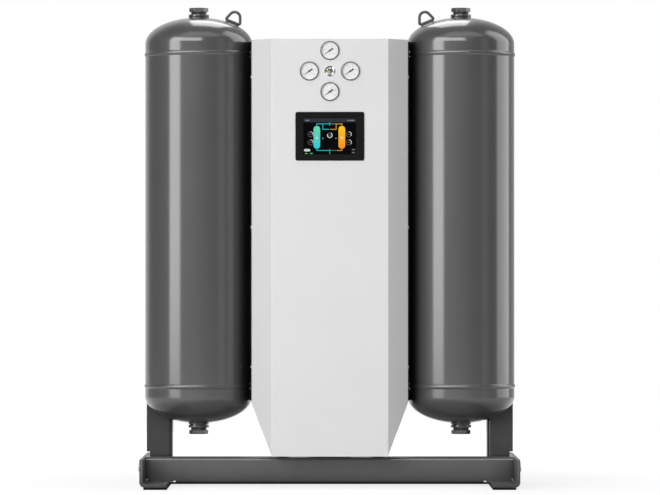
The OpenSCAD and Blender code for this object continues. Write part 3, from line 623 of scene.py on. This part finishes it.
eye_rise = HEAD_RISE * math.sqrt(1 - (EYE_OFFSET / VESSEL_R) ** 2)
eye_tilt = math.atan(HEAD_RISE ** 2 * EYE_OFFSET / (VESSEL_R ** 2 * eye_rise))
eye_place = Matrix.Translation((VESSEL_X - EYE_OFFSET, 0, HIGH_TANGENT + eye_rise))
eye_place = eye_place @ Matrix.Rotation(-eye_tilt, 4, "Y")
for word, side in SIDES:
    form = Form().add(tube(eye_path(), EYE_BAR_R, (0, 1, 0), 20, True), on_side(side) @ eye_place)
    for y in (-EYE_WELD_Y, EYE_WELD_Y):
        path = []
        steps = 48
        for i in range(steps + 1):
            flat = eye_place @ Vector((-EYE_WELD_HALF + 2 * EYE_WELD_HALF * i / steps, y, 0))
            r = math.hypot(flat.x - VESSEL_X, flat.y)
            path.append((flat.x, flat.y, HIGH_TANGENT + HEAD_RISE + head_height(r) + 0.6))
        form.add(tube(path, EYE_WELD_R, (0, 1, 0), 10, False, 0.22, 12), on_side(side))
    build(word + "_eye_bar", form, "base_paint", [word + "_lifting_eye"])


# Base: solids with rounded edges, and turned fasteners

# The posts and the cross beam get darker copies of the base paint, as painted shade
for word, _ in SIDES:
    dress(word + "_post", "post_paint_shade_darkened", 0.9)
    dress(word + "_strut", "base_paint", 0.8)
    dress(word + "_foot_pad", "pad_rubber", 1.0)
dress("cross_beam", "beam_paint_shade_darkened", 0.7)

INWARD = Matrix.Rotation(math.radians(-90), 4, "Y")
BOLT_PLACE = Matrix.Translation((RAIL_OUTER, BOLT_Y, BOLT_Z)) @ INWARD
nut_low = BOLT_GRIP + WASHER_T
form = Form()
for _, side in SIDES:
    place = on_side(side) @ BOLT_PLACE
    form.add(hexagon(BOLT_ACROSS, -WASHER_T - BOLT_HEAD, -WASHER_T, True, False), place)
    form.add(washer(WASHER_R, BOLT_HOLE_R, -WASHER_T, 0), place)
    form.add(washer(WASHER_R, BOLT_HOLE_R, BOLT_GRIP, nut_low), place)
    form.add(hexagon(BOLT_ACROSS, nut_low, nut_low + BOLT_NUT), place)
    form.add(turned([(BOLT_R, -WASHER_T - 1), (BOLT_R, BOLT_PLAIN_END)], 48), place)
    form.add(threads(BOLT_R, 0.6, 2, BOLT_PLAIN_END, BOLT_END, 48), place)
build("base_bolts", form, "plated_steel", ["frame_bolts"])

SCREW_HEAD = [(2.2, -2.2), (2.2, -3.3), (2.6, -3.5), (3.4, -3.4), (4.4, -2.8), (5.1, -1.8),
              (5.25, -0.6), (5.25, 0)]
screw_y = (HOOD_SIDE_Y + HOOD_BACK) / 2
form = Form()
for _, side in SIDES:
    for level in SCREW_LEVELS:
        place = on_side(side) @ Matrix.Translation((HOOD_HALF, screw_y, level)) @ INWARD
        form.add(turned(SCREW_HEAD, 48), place)
        form.add(threads(SCREW_R, 0.35, 1, -0.5, SCREW_END, 32), place)
        form.add(hexagon(SCREW_ACROSS, *SCREW_NUT), place)
build("hood_fasteners", form, "plated_steel", ["hood_screws"])


# Hood: folded sheet with rounded bends, cut for the panel, the gauges and the indicator

PANEL_HOLE = (191.0, 131.0, 3.0)
GAUGE_HOLE_R = 25.5
INDICATOR_HOLE_R = 10.5
CUT_DEPTH = (-30.0, 20.0)
HOOD_BEND = 1.3
LIP_LOW = HOOD_TOP - 18
LIP_HIGH = HOOD_TOP - 1


def hood_shell():
    """Folded sheet, open at the back and below, before its holes are cut."""
    work = bmesh.new()

    def pair(x, y, z):
        return [work.verts.new((s * x, y, z)) for s in (-1, 1)]

    front_top = pair(HOOD_FRONT_HALF, HOOD_FRONT, HOOD_TOP)
    side_top = pair(HOOD_HALF, HOOD_SIDE_Y, HOOD_TOP)
    back_top = pair(HOOD_HALF, HOOD_BACK, HOOD_TOP)
    side_low = pair(HOOD_HALF, HOOD_SIDE_Y, HOOD_SHOULDER)
    back_low = pair(HOOD_HALF, HOOD_BACK, HOOD_SHOULDER)
    front_foot = pair(HOOD_FRONT_HALF, HOOD_FRONT, HOOD_LOW)
    back_foot = pair(HOOD_FRONT_HALF, HOOD_BACK, HOOD_LOW)
    work.faces.new([front_top[0], front_top[1], front_foot[1], front_foot[0]])
    work.faces.new([back_top[0], back_top[1], side_top[1], front_top[1], front_top[0], side_top[0]])
    for s in (0, 1):
        work.faces.new([front_top[s], side_top[s], side_low[s], front_foot[s]])
        work.faces.new([side_top[s], back_top[s], back_low[s], side_low[s]])
        work.faces.new([front_foot[s], side_low[s], back_low[s], back_foot[s]])
    bmesh.ops.recalc_face_normals(work, faces=work.faces)
    bends = [e for e in work.edges if len(e.link_faces) == 2]
    bmesh.ops.bevel(work, geom=bends, offset=HOOD_BEND, segments=4, profile=0.5, affect="EDGES")
    outside = work.faces[:]
    middle = Vector((0, HOOD_BACK, (HOOD_LOW + HOOD_TOP) / 2))
    front = max(outside, key=lambda f: f.calc_area())
    if front.normal.dot(front.calc_center_median() - middle) < 0:
        bmesh.ops.reverse_faces(work, faces=outside)
    bmesh.ops.solidify(work, geom=outside, thickness=HOOD_SHEET)
    mesh = bpy.data.meshes.new("hood_sheet")
    work.to_mesh(mesh)
    work.free()
    return mesh


def as_object(name, part):
    """Object of a part, for cutting."""
    mesh = bpy.data.meshes.new(name)
    mesh.from_pydata([Vector(p) for p in part[0]], [], part[1])
    face_outwards(mesh)
    made = bpy.data.objects.new(name, mesh)
    bpy.context.scene.collection.objects.link(made)
    return made


def cut(target, part):
    """Cuts a part out of the target's mesh."""
    tool = as_object("cutter", part)
    change = target.modifiers.new("cut", "BOOLEAN")
    change.object = tool
    change.solver = "EXACT"
    bpy.context.view_layer.update()
    ready = target.evaluated_get(bpy.context.evaluated_depsgraph_get())
    target.data = bpy.data.meshes.new_from_object(ready)
    target.modifiers.clear()
    bpy.data.objects.remove(tool)


blank = bpy.data.objects.new("hood_blank", hood_shell())
bpy.context.scene.collection.objects.link(blank)
holes = Form()
holes.add(prism(round_rectangle(*PANEL_HOLE), *CUT_DEPTH), on_front(0, PANEL_Z))
for x, z in GAUGES.values():
    holes.add(turned([(GAUGE_HOLE_R, depth) for depth in CUT_DEPTH], 96), on_front(x, GAUGE_Z + z))
holes.add(turned([(INDICATOR_HOLE_R, depth) for depth in CUT_DEPTH], 64), on_front(0, GAUGE_Z))
cut(blank, (holes.points, holes.faces))
form = Form().add(part_of(blank.data))
bpy.data.objects.remove(blank)
lip_half = HOOD_HALF - HOOD_SHEET - 0.3
lip = block(-lip_half, lip_half, HOOD_BACK - HOOD_SHEET, HOOD_BACK, LIP_LOW, LIP_HIGH)
form.add(eased(lip, 0.5))
build("hood_cover", form, "hood_paint", ["hood"], sharp=24.0, weighted=True)


# Rails: bent angles with round bends, cut for the anchors and the frame bolt

def rail_outline():
    """Section of a rail, from its outer face inwards and from its underside up."""
    points = [(RAIL_WIDTH, 0)] + arc(RAIL_BEND, RAIL_BEND, RAIL_BEND, 270, 180, 12)
    points += [(0, RAIL_HEIGHT), (RAIL_THICK, RAIL_HEIGHT)]
    points += arc(RAIL_BEND, RAIL_BEND, RAIL_BEND - RAIL_THICK, 180, 270, 8)
    return points + [(RAIL_WIDTH, RAIL_THICK)]


RAIL_PLACE = Matrix(((-1, 0, 0, RAIL_OUTER), (0, 0, 1, 0), (0, 1, 0, PAD_HEIGHT), (0, 0, 0, 1)))
for word, side in SIDES:
    points, faces = eased(prism(rail_outline(), -RAIL_HALF_LENGTH, RAIL_HALF_LENGTH), 0.8)
    blank = as_object("rail_blank", ([RAIL_PLACE @ Vector(p) for p in points], faces))
    holes = Form()
    for y in (-ANCHOR_Y, ANCHOR_Y):
        anchor = Matrix.Translation((RAIL_OUTER - ANCHOR_INSET, y, 0))
        holes.add(turned([(ANCHOR_HOLE_R, -10), (ANCHOR_HOLE_R, 40)], 48), anchor)
    holes.add(turned([(BOLT_HOLE_R, -10), (BOLT_HOLE_R, 30)], 48), BOLT_PLACE)
    cut(blank, (holes.points, holes.faces))
    form = Form().add(part_of(blank.data), on_side(side))
    bpy.data.objects.remove(blank)
    build(word + "_rail_angle", form, "base_paint", [word + "_rail"], weighted=True)


# Shade strip: black rubber strip on the hood's sides, which closes the gap to the vessels; a dark piece put
# into the shaded crevice, as painted shade

# Section of the strip, as (x, y), then each level with its share of the strip's width
SHADE_STRIP = [(235.45, -49.0), (239.5, -50.0), (241.7, -49.6), (242.5, -48.5), (241.5, -45.0), (240.6, -42.0),
        (239.6, -38.9), (239.0, -38.4), (235.45, -38.4)]
SHADE_STRIP_LEVELS = [(259, 1.0), (291, 1.0), (294, 0.6), (310, 0.6), (313, 1.0),
               (1295, 1.0), (1298, 0.6), (1314, 0.6), (1317, 1.0), (1343, 1.0)]
rings = []
for level, share in SHADE_STRIP_LEVELS:
    rings.append([(HOOD_HALF + (x - HOOD_HALF) * share, y, level) for x, y in SHADE_STRIP])
form = Form()
for _, side in SIDES:
    form.add(skin(rings), on_side(side))
build("hood_shade_strip", form, "pad_rubber", sharp=50.0)


# Operator panel: bezel, screen and a plain flow mimic

PANEL_HALF = (95.0, 65.0)
PANEL_DEPTH = 42.0
GLASS_HALF = (79.0, 54.0)
GLASS_BACK = 3.0
SCREEN_LOW = PANEL_Z - 40
SCREEN_HIGH = PANEL_Z + 31
SCREEN_FACE = 5.0
FIELD_SINK = 0.06
FIELD_RISE = 0.08


def glow(name, low, high):
    """Lit colour that runs from low to high between the vessels' ends on the screen."""
    finish = Finish(name, (0.004, 0.004, 0.004), 0.2, specular_ior_level=0.1)
    split = finish.node("ShaderNodeSeparateXYZ")
    finish.join(finish.place, split.inputs["Vector"])
    level = finish.spread(split.outputs["Z"], 0.0, 1.0, SCREEN_LOW * MM, SCREEN_HIGH * MM)
    finish.join(finish.ramp(level, (0.0, low), (1.0, high)), finish.shader.inputs["Emission Color"])
    finish.put("Emission Strength", 1.0)
    return finish.material


# Width, height, corner and level of each step of the bezel, from the hood inwards to the glass
BEZEL = [(206, 146, 6, 0.0), (206, 146, 6, 3.0), (205.5, 145.5, 5.8, 4.0), (204.2, 144.2, 5.2, 4.7),
         (202.4, 142.4, 4.4, 5.0), (161.2, 111.2, 2.2, 5.0), (158.8, 108.8, 1.2, 4.3),
         (158.4, 108.4, 1.0, 3.0)]
panel = on_front(0, PANEL_Z)
form = Form()
form.add(skin([[(x, y, z) for x, y in round_rectangle(w, h, c)] for w, h, c, z in BEZEL]), panel)
wide, tall = PANEL_HALF
form.add(eased(block(-wide, wide, -tall, tall, -PANEL_DEPTH, 0.5), 2.0), panel)
build("panel_bezel", form, "panel_plastic", ["hmi_housing"], weighted=True)
wide, tall = GLASS_HALF
form = Form().add(eased(block(-wide, wide, -tall, tall, GLASS_BACK, SCREEN_FACE), 0.3), panel)
build("panel_touch_glass", form, "panel_glass", ["hmi_screen"], weighted=True)

TINTS = [
    glow("lit_slate", (0.020, 0.022, 0.034), (0.024, 0.026, 0.040)),
    glow("lit_teal", (0.013, 0.57, 0.66), (0.15, 0.66, 0.40)),
    glow("lit_amber", (0.94, 0.26, 0.010), (0.94, 0.56, 0.016)),
    glow("lit_grey", (0.20, 0.21, 0.22), (0.28, 0.29, 0.30)),
    glow("lit_pale", (0.62, 0.64, 0.66), (0.70, 0.72, 0.74)),
    glow("lit_green", (0.08, 0.50, 0.16), (0.10, 0.56, 0.20)),
    glow("lit_cold_pipe", (0.013, 0.44, 0.52), (0.016, 0.47, 0.51)),
    glow("lit_warm_pipe", (0.60, 0.26, 0.018), (0.66, 0.31, 0.020)),
    glow("lit_dim", (0.080, 0.080, 0.084), (0.090, 0.090, 0.095)),
]
SLATE, TEAL, AMBER, GREY, PALE, GREEN, COLD, WARM, DIM = range(9)
mimic = Form()


# Places on the screen are in millimetres from its middle

def field(outline, tint, layer=0):
    """Thin plate of one colour on the glass."""
    low = SCREEN_FACE + FIELD_RISE * layer
    mimic.add(prism(outline, low - FIELD_SINK, low + FIELD_RISE), panel, tint)


def bar(x0, y0, x1, y1, tint, layer=0, corner=0.0):
    """Field between two corners, with its own corners rounded."""
    width, height = abs(x1 - x0), abs(y1 - y0)
    outline = round_rectangle(width, height, corner or 0.2 * min(width, height), 4)
    field([(x + (x0 + x1) / 2, y + (y0 + y1) / 2) for x, y in outline], tint, layer)


def disc(x, y, r, tint, layer=0):
    field(arc(x, y, r, 0, 360, 40)[:-1], tint, layer)


def ring(x, y, outer, inner, tint):
    low = SCREEN_FACE - FIELD_SINK
    high = SCREEN_FACE + FIELD_RISE
    profile = [(inner, low), (outer, low), (outer, high), (inner, high)]
    mimic.add(turned(profile, 40, loop=True), panel @ Matrix.Translation((x, y, 0)), tint)


COLD_PIPES = [(-40.1, 30.0, -37.9, 38.2), (-40.1, 36.0, 0.0, 38.2), (-22.0, 19.6, -19.8, 37.0),
              (-22.0, 19.6, -2.0, 21.8), (-40.1, -43.6, -37.9, -36.0), (-40.1, -43.6, 0.0, -41.4)]
WARM_PIPES = [(35.2, 30.0, 37.4, 38.2), (16.6, 36.0, 37.4, 38.2), (18.0, 19.6, 20.2, 37.0),
              (1.0, 19.6, 20.2, 21.8), (35.2, -43.6, 37.4, -36.0), (20.5, -43.6, 37.4, -41.4)]
bar(-78.4, 41.7, 78.4, 53.4, SLATE)
bar(-73, 46.6, -61, 48.6, GREY, 1)
bar(52, 46.6, 73, 48.6, GREY, 1)
bar(-48.6, -37.0, -29.0, 30.6, TEAL, 0, 9.0)
bar(26.0, -37.0, 46.0, 30.6, AMBER, 0, 9.0)
for pipe in COLD_PIPES:
    bar(*pipe, COLD)
for pipe in WARM_PIPES:
    bar(*pipe, WARM)
bar(2.5, 36.4, 15.5, 37.8, GREY)
bar(2.5, -43.2, 19.0, -41.8, GREY)
bar(-1.1, -52.0, 1.1, -38.5, COLD, 1)
bar(-1.1, 32.0, 1.1, 42.0, COLD, 1)


def small_dial(x, y, outer, inner, start, end):
    """Dim ring with a bright arc and a hand."""
    ring(x, y, outer, inner, DIM)
    field(arc(x, y, outer, start, end, 18) + arc(x, y, inner, end, start, 18), PALE, 1)
    bar(x - 2.6, y - 0.6, x + 2.6, y + 0.6, GREY)


small_dial(0.0, 3.1, 8.2, 6.0, 150, 420)
for y in (5.7, -18.4):
    small_dial(-57.6, y, 8.4, 6.6, -10, 85)
    small_dial(57.0, y, 8.4, 6.6, -35, 85)
for x, spot in ((-38.5, -20.9), (36.3, 18.4)):
    disc(x, -5.0, 3.2, PALE, 1)
    disc(spot, -6.2, 2.0, GREY)
bar(-77.0, -45.4, -58.5, -38.0, PALE, 0, 3.5)
bar(-74.5, -52.8, -66.5, -50.0, GREEN)
bar(-59.5, -52.8, -51.0, -50.0, GREEN)
bar(64.5, -43.0, 76.5, -36.8, SLATE, 0, 1.2)
bar(64.5, -52.0, 76.5, -45.8, SLATE, 0, 1.2)
bar(66.5, -40.9, 74.5, -38.9, GREY, 1)
bar(66.5, -49.9, 74.5, -47.9, GREY, 1)
build("panel_mimic", mimic, "panel_glass", finishes=TINTS)


# Gauges: turned case with a rolled bezel, printed dial, window

INK = Finish("dial_ink", (0.025, 0.025, 0.026), 0.5).mottle(200, 0.2)
DIAL_FACE = -0.5
PRINT_LOW = DIAL_FACE - 0.02
PRINT_HIGH = DIAL_FACE + 0.06
TICKS = 25
TICKS_TO_A_NUMBER = 5
TICK_END_R = 20.4
MAJOR_TICK = (16.8, 0.22)
MINOR_TICK = (18.6, 0.10)
SCALE_ARC = (20.6, 20.3)
NUMBER_R = 14.2
NUMBER_SIZE = 4.0
CASE_SEGMENTS = 112


def number_part(digits, height):
    """Flat closed digits, centred on the origin."""
    curve = bpy.data.curves.new("number", "FONT")
    curve.body = digits
    curve.size = height
    curve.align_x = "CENTER"
    curve.align_y = "CENTER"
    curve.extrude = 0.03
    curve.resolution_u = 3
    made = bpy.data.objects.new("number", curve)
    bpy.context.scene.collection.objects.link(made)
    bpy.context.view_layer.update()
    mesh = bpy.data.meshes.new_from_object(made.evaluated_get(bpy.context.evaluated_depsgraph_get()))
    bpy.data.objects.remove(made)
    return part_of(mesh)


def dial_marks():
    """Scale arc, ticks and plain numbers, as print that stands on the dial."""
    form = Form()
    for k in range(TICKS + 1):
        turn = math.radians(GAUGE_ZERO - GAUGE_SWEEP * k / TICKS)
        major = k % TICKS_TO_A_NUMBER == 0
        inner, half = MAJOR_TICK if major else MINOR_TICK
        place = Matrix.Rotation(turn, 4, "Z")
        form.add(block(inner, TICK_END_R, -half, half, PRINT_LOW, PRINT_HIGH), place)
        if major:
            x = NUMBER_R * math.cos(turn)
            y = NUMBER_R * math.sin(turn)
            number = number_part(str(2 * k // TICKS_TO_A_NUMBER), NUMBER_SIZE)
            form.add(number, Matrix.Translation((x, y, DIAL_FACE + 0.03)))
    outer, inner = SCALE_ARC
    rim = arc(0, 0, outer, GAUGE_ZERO, GAUGE_ZERO - GAUGE_SWEEP, 72)
    rim += arc(0, 0, inner, GAUGE_ZERO - GAUGE_SWEEP, GAUGE_ZERO, 72)
    form.add(prism(rim, PRINT_LOW, PRINT_HIGH))
    return form.points, form.faces


CASE = ([(1.03, -28), (0.2, -28), (0.2, -30), (23.6, -30)] + arc(23.6, -28.6, 1.4, -60, 0)
        + [(25, -0.2), (25, 0), (28.1, 0), (28.5, 0.5), (28.5, 4.6)] + arc(25.6, 5.1, 2.9, 0, 80, 7)
        + [(25.4, 7.9), (25, 7.5), (25, 4), (23.5, 4), (23.5, -1.5), (20.5, -1.5), (20.5, -28), (6, -28),
           (6, -7.5), (1.03, -7.5)])
case_part = turned(CASE, CASE_SEGMENTS, loop=True)
INNER_WALL = range(CASE.index((25, 7.5)), CASE.index((20.5, -1.5)))
case_paint = [1 if i // CASE_SEGMENTS in INNER_WALL else 0 for i in range(len(case_part[1]))]
stem_part = hexagon(13.4, -40, -29.5)
thread_part = threads(5.8, 0.6, 1.6, -46, -39.5, 48)
disc_part = turned([(2, -1.5), (23.3, -1.5), (23.3, -0.5), (2, -0.5)], 96, loop=True)
marks_part = dial_marks()
WINDOW = [(0.2, 4), (24.4, 4), (24.8, 4.4), (24.8, 5.4), (24.3, 6), (16, 6.25), (8, 6.38), (0.2, 6.42)]
window_part = turned(WINDOW, 96)
for word, (x, z) in GAUGES.items():
    place = on_front(x, GAUGE_Z + z)
    form = Form().add(case_part, place, case_paint).add(stem_part, place).add(thread_part, place)
    paints = [FINISH["gauge_black"].material, FINISH["dial_white"].material]
    build("gauge_housing_" + word, form, "gauge_black", ["gauge_case_" + word], finishes=paints, sharp=28.0)
    build("gauge_face_" + word, Form().add(disc_part, place), "dial_white", ["gauge_dial_" + word])
    build("gauge_marks_" + word, Form().add(marks_part, place), "pointer_black", finishes=[INK.material])
    build("gauge_glass_" + word, Form().add(window_part, place), "window_glass", ["gauge_window_" + word])
    dress("gauge_pointer_" + word, "pointer_black", 0.12)


# Moisture indicator

place = on_front(0, GAUGE_Z)
BODY = [(0.2, -25), (9.2, -25), (10, -24.2), (10, 0), (15.7, 0), (16, 0.3), (16, 2.5), (15.9, 2.85),
        (15.6, 3.2), (9.2, 8.6), (8.9, 8.85), (8.6, 8.95), (8.3, 8.9), (8.1, 8.7), (8.02, 8.4),
        (8, 4), (6.7, 4), (6.7, -21), (0.2, -21)]
build("indicator_ring", Form().add(turned(BODY, 112, loop=True), place), "bright_chrome",
      ["moisture_indicator_body"], sharp=28.0)
LENS = [(0.2, 4), (7.6, 4), (7.8, 4.3), (7.8, 5.6), (7.3, 6.1), (5, 6.5), (2.5, 6.7), (0.2, 6.75)]
build("indicator_lens", Form().add(turned(LENS, 80), place), "window_glass", ["moisture_indicator_lens"])
# The element's colour is painted: bright green about one spot as painted light, and nearly black around it
# as painted shade
LIT_SPOT_AT = (-3.4, HOOD_FRONT - 3.8, GAUGE_Z - 2.8)
LIT_SPOT_REACH = 7.5
spot = FINISH["indicator_green"]
offset = spot.node("ShaderNodeVectorMath", operation="DISTANCE")
offset.inputs[1].default_value = [c * MM for c in LIT_SPOT_AT]
spot.join(spot.place, offset.inputs[0])
reach = spot.spread(offset.outputs["Value"], 0.0, 1.0, 0.0, LIT_SPOT_REACH * MM)
shade = spot.ramp(reach, (0.0, (0.62, 0.62, 0.15)), (0.42, (0.56, 0.58, 0.14)), (0.60, (0.10, 0.10, 0.03)),
                  (1.0, (0.05, 0.05, 0.02)))
spot.join(shade, spot.shader.inputs["Base Color"])
dress("moisture_indicator_element", "indicator_green")


# Air path behind the hood

for level in ("lower", "upper"):
    dress(level + "_manifold", "cast_aluminium", 2.0)
dress("pilot_valve_bank", "panel_plastic", 1.5)
for word, _ in SIDES:
    dress(word + "_exhaust_valve", "cast_aluminium", 1.5)
    for level in ("upper", "lower"):
        dress(word + "_" + level + "_screen", "screen_steel")
    dress(word + "_desiccant", "desiccant_beads")

MUFFLER_TOP = 225.0
MUFFLER_LOW = 105.0
MUFFLER_X = 35.0
MUFFLER_R = 28.0
MUFFLER_EDGE = 9.3
RIBS = 12
RIB_PITCH = 7.6
GROOVE_R = 26.6
PURGE_TOP = 1228.0
PURGE_ACROSS = 30.0
PURGE_BODY = 34.0
PURGE_STEM_R = 4.0


def muffler():
    """Ribbed plastic silencer with a round lower edge and a cone at its top."""
    flat = MUFFLER_R - MUFFLER_EDGE
    rows = [(2, MUFFLER_LOW), (flat, MUFFLER_LOW)]
    rows += arc(flat, MUFFLER_LOW + MUFFLER_EDGE, MUFFLER_EDGE, -80, -8, 6)
    for k in range(RIBS):
        z = MUFFLER_LOW + 13 + RIB_PITCH * k
        rows += [(MUFFLER_R, z), (MUFFLER_R, z + 4.2), (GROOVE_R, z + 4.8), (GROOVE_R, z + 7.0)]
    rows += [(MUFFLER_R, MUFFLER_TOP - 15), (MUFFLER_R, MUFFLER_TOP - 9.4)]
    return turned(rows + [(27, MUFFLER_TOP - 8), (21, MUFFLER_TOP)], 96)


for word, side in SIDES:
    form = Form().add(muffler(), Matrix.Translation((side * MUFFLER_X, 0, 0)))
    build(word + "_silencer", form, "muffler_plastic", [word + "_muffler"])

under = Matrix.Translation((0, 0, PURGE_TOP)) @ Matrix.Scale(-1, 4, (0, 0, 1))
form = Form().add(hexagon(PURGE_ACROSS, 0, PURGE_BODY, False, True), under)
form.add(turned([(PURGE_STEM_R, PURGE_BODY - 4), (PURGE_STEM_R, PURGE_BODY + 12)], 40), under)
KNOB = [(4, 44), (11.6, 44), (12.6, 45), (13, 46.4), (13, 59.6), (12.6, 61), (11.6, 62), (5, 62),
        (4.4, 61.4)]


def knurl(angle, r, z):
    """Grip ridges on the widest part of the knob."""
    depth = 0.5 if r > 12.8 else 0.0
    return r - depth * (0.5 + 0.5 * math.cos(36 * angle))


form.add(turned(KNOB, 216, shape=knurl), under)
build("purge_needle_valve", form, "valve_brass", ["purge_valve"])


# Floor, light and camera

def soft_change(tree, source, start, end, low, high):
    """Value that runs softly from low to high while the source runs from start to end."""
    made = tree.nodes.new("ShaderNodeMapRange")
    made.interpolation_type = "SMOOTHSTEP"
    for label, value in (("From Min", start), ("From Max", end), ("To Min", low), ("To Max", high)):
        made.inputs[label].default_value = value
    tree.links.new(source, made.inputs["Value"])
    return made.outputs["Result"]


def floor_material():
    """White floor: the camera sees it lit from within, so that only shadows show on it, and gloss
    sees its far part white."""
    made = bpy.data.materials.new("studio_floor")
    made.use_nodes = True
    tree = made.node_tree
    tree.nodes.clear()
    join = tree.links.new

    def node(kind):
        return tree.nodes.new("ShaderNode" + kind)

    where = node("TexCoord")
    away = node("VectorMath")
    away.operation = "LENGTH"
    join(where.outputs["Object"], away.inputs[0])
    level = soft_change(tree, away.outputs["Value"], 0.6, 2.4, 0.78, 1.0)
    white = node("Emission")
    join(level, white.inputs["Strength"])
    pale = node("BsdfDiffuse")
    pale.inputs["Color"].default_value = (0.40, 0.40, 0.40, 1)
    both = node("AddShader")
    join(pale.outputs["BSDF"], both.inputs[0])
    join(white.outputs["Emission"], both.inputs[1])
    plain = node("BsdfDiffuse")
    plain.inputs["Color"].default_value = (0.50, 0.50, 0.50, 1)
    path = node("LightPath")
    far = soft_change(tree, away.outputs["Value"], 0.5, 1.15, 0.0, 0.85)
    seen = node("Math")
    seen.operation = "MULTIPLY"
    join(far, seen.inputs[0])
    join(path.outputs["Is Glossy Ray"], seen.inputs[1])
    mirrored = node("Emission")
    join(seen.outputs[0], mirrored.inputs["Strength"])
    other = node("AddShader")
    join(plain.outputs["BSDF"], other.inputs[0])
    join(mirrored.outputs["Emission"], other.inputs[1])
    pick = node("MixShader")
    join(path.outputs["Is Camera Ray"], pick.inputs["Fac"])
    join(other.outputs["Shader"], pick.inputs[1])
    join(both.outputs["Shader"], pick.inputs[2])
    out = node("OutputMaterial")
    join(pick.outputs["Shader"], out.inputs["Surface"])
    return made


# Metres
FLOOR_R = 5.0
FLOOR_Z = -0.0004
floor_mesh = bpy.data.meshes.new("studio_floor")
floor_ring = [(x, y, FLOOR_Z) for x, y in arc(0, 0, FLOOR_R, 0, 360, 96)[:-1]]
floor_mesh.from_pydata(floor_ring, [], [list(range(len(floor_ring)))])
floor_mesh.materials.append(floor_material())
floor = bpy.data.objects.new("studio_floor", floor_mesh)
bpy.context.scene.collection.objects.link(floor)


def set_world(front, back, around, boxes):
    """White for the camera, a soft fill for matt surfaces, and a ring of light boxes for gloss."""
    world = bpy.data.worlds.new("studio")
    bpy.context.scene.world = world
    world.use_nodes = True
    tree = world.node_tree
    shade = tree.nodes["Background"]

    def node(kind):
        return tree.nodes.new("ShaderNode" + kind)

    def feed(socket, value):
        if isinstance(value, (int, float)):
            socket.default_value = value
        else:
            tree.links.new(value, socket)

    def figure(operation, first, second=0.0):
        made = node("Math")
        made.operation = operation
        feed(made.inputs[0], first)
        feed(made.inputs[1], second)
        return made.outputs[0]

    def change(*limits):
        return soft_change(tree, *limits)

    def choose(flag, otherwise, chosen):
        made = node("Mix")
        feed(made.inputs[0], flag)
        feed(made.inputs[2], otherwise)
        feed(made.inputs[3], chosen)
        return made.outputs[0]

    path = node("LightPath")
    where = node("TexCoord")
    split = node("SeparateXYZ")
    tree.links.new(where.outputs["Generated"], split.inputs["Vector"])
    x, y, z = split.outputs
    height = figure("DEGREES", figure("ARCSINE", z))
    gloss = around
    for middle, half, low, high, soft, radiance in boxes:
        a = math.radians(middle)
        across = figure("ADD", figure("MULTIPLY", x, math.cos(a)), figure("MULTIPLY", y, math.sin(a)))
        along = figure("SUBTRACT", figure("MULTIPLY", x, math.sin(a)), figure("MULTIPLY", y, math.cos(a)))
        turn = figure("ABSOLUTE", figure("DEGREES", figure("ARCTAN2", across, along)))
        light = change(turn, half - soft, half + soft, radiance, 0.0)
        light = figure("MULTIPLY", light, change(height, low - soft, low + soft, 0.0, 1.0))
        light = figure("MULTIPLY", light, change(height, high - soft, high + soft, 1.0, 0.0))
        gloss = figure("ADD", gloss, light)
    fill = change(y, -0.35, 0.35, front, back)
    level = choose(path.outputs["Is Glossy Ray"], fill, gloss)
    level = choose(path.outputs["Is Camera Ray"], level, 1.0)
    tree.links.new(level, shade.inputs["Strength"])
    shade.inputs["Color"].default_value = (1, 1, 1, 1)


def softbox(name, at, aim, width, height, radiance, lights=True, shows=True):
    """Area lamp; it may light without showing in gloss, or show in gloss without lighting."""
    data = bpy.data.lights.new(name, "AREA")
    data.shape = "RECTANGLE"
    data.size = width
    data.size_y = height
    data.energy = radiance * math.pi * width * height
    lamp = bpy.data.objects.new(name, data)
    lamp.location = at
    lamp.rotation_mode = "QUATERNION"
    lamp.rotation_quaternion = (Vector(aim) - Vector(at)).to_track_quat("-Z", "Y")
    lamp.visible_camera = False
    lamp.visible_diffuse = lights
    lamp.visible_glossy = shows
    bpy.context.scene.collection.objects.link(lamp)


# Boxes for gloss: middle and half width as turns from the front to the right, low and high edge as
# heights, softness, all in degrees, and radiance
BOXES = [
    (-51.5, 12.5, -3, 38, 2.5, 7.6),
    (-15.5, 24.0, 12.0, 37, 1.6, 7.0),
    (5, 62, 46, 80, 6.0, 1.4),
    (104, 21, -4, 57, 3.0, 2.9),
    (52, 8, -6, 30, 4.0, 0.45),
    (180, 46, -14, 42, 14.0, 0.28),
    (-160, 26, -14, 42, 14.0, 0.28),
]
set_world(front=0.16, back=0.40, around=0.22, boxes=BOXES)
softbox("key_light", (-2.54, -5.44, 1.55), (0.0, 0.0, 0.7), 3.6, 2.4, 7.2, shows=False)
softbox("low_light", (0.2, -4.5, 0.35), (0.0, 0.0, 0.2), 4.0, 0.5, 7.5, shows=False)
softbox("back_light", (0.0, 2.45, 4.3), (0.0, 0.0, 1.4), 1.5, 2.0, 3.8, lights=False)
softbox("top_light", (-0.3, -1.0, 4.6), (-0.3, -1.0, 0.0), 5.0, 1.8, 0.75, shows=False)

# Metres, apart from the sensor
CAMERA_DISTANCE = 14.0
CAMERA_AT = Vector((0.0, -CAMERA_DISTANCE, 0.623))
CAMERA_AIM = Vector((0.0006, 0.0, 0.7216))
PICTURE_WIDTH = 2.0018
SENSOR_WIDTH = 36.0
camera_data = bpy.data.cameras.new("photo_camera")
camera_data.sensor_width = SENSOR_WIDTH
camera_data.lens = SENSOR_WIDTH * CAMERA_DISTANCE / PICTURE_WIDTH
camera_data.clip_end = 200.0
camera = bpy.data.objects.new("photo_camera", camera_data)
camera.location = CAMERA_AT
camera.rotation_mode = "QUATERNION"
camera.rotation_quaternion = (CAMERA_AIM - CAMERA_AT).to_track_quat("-Z", "Y")
bpy.context.scene.collection.objects.link(camera)
bpy.context.scene.camera = camera
bpy.context.scene.view_settings.view_transform = "Standard"

bpy.context.view_layer.update()
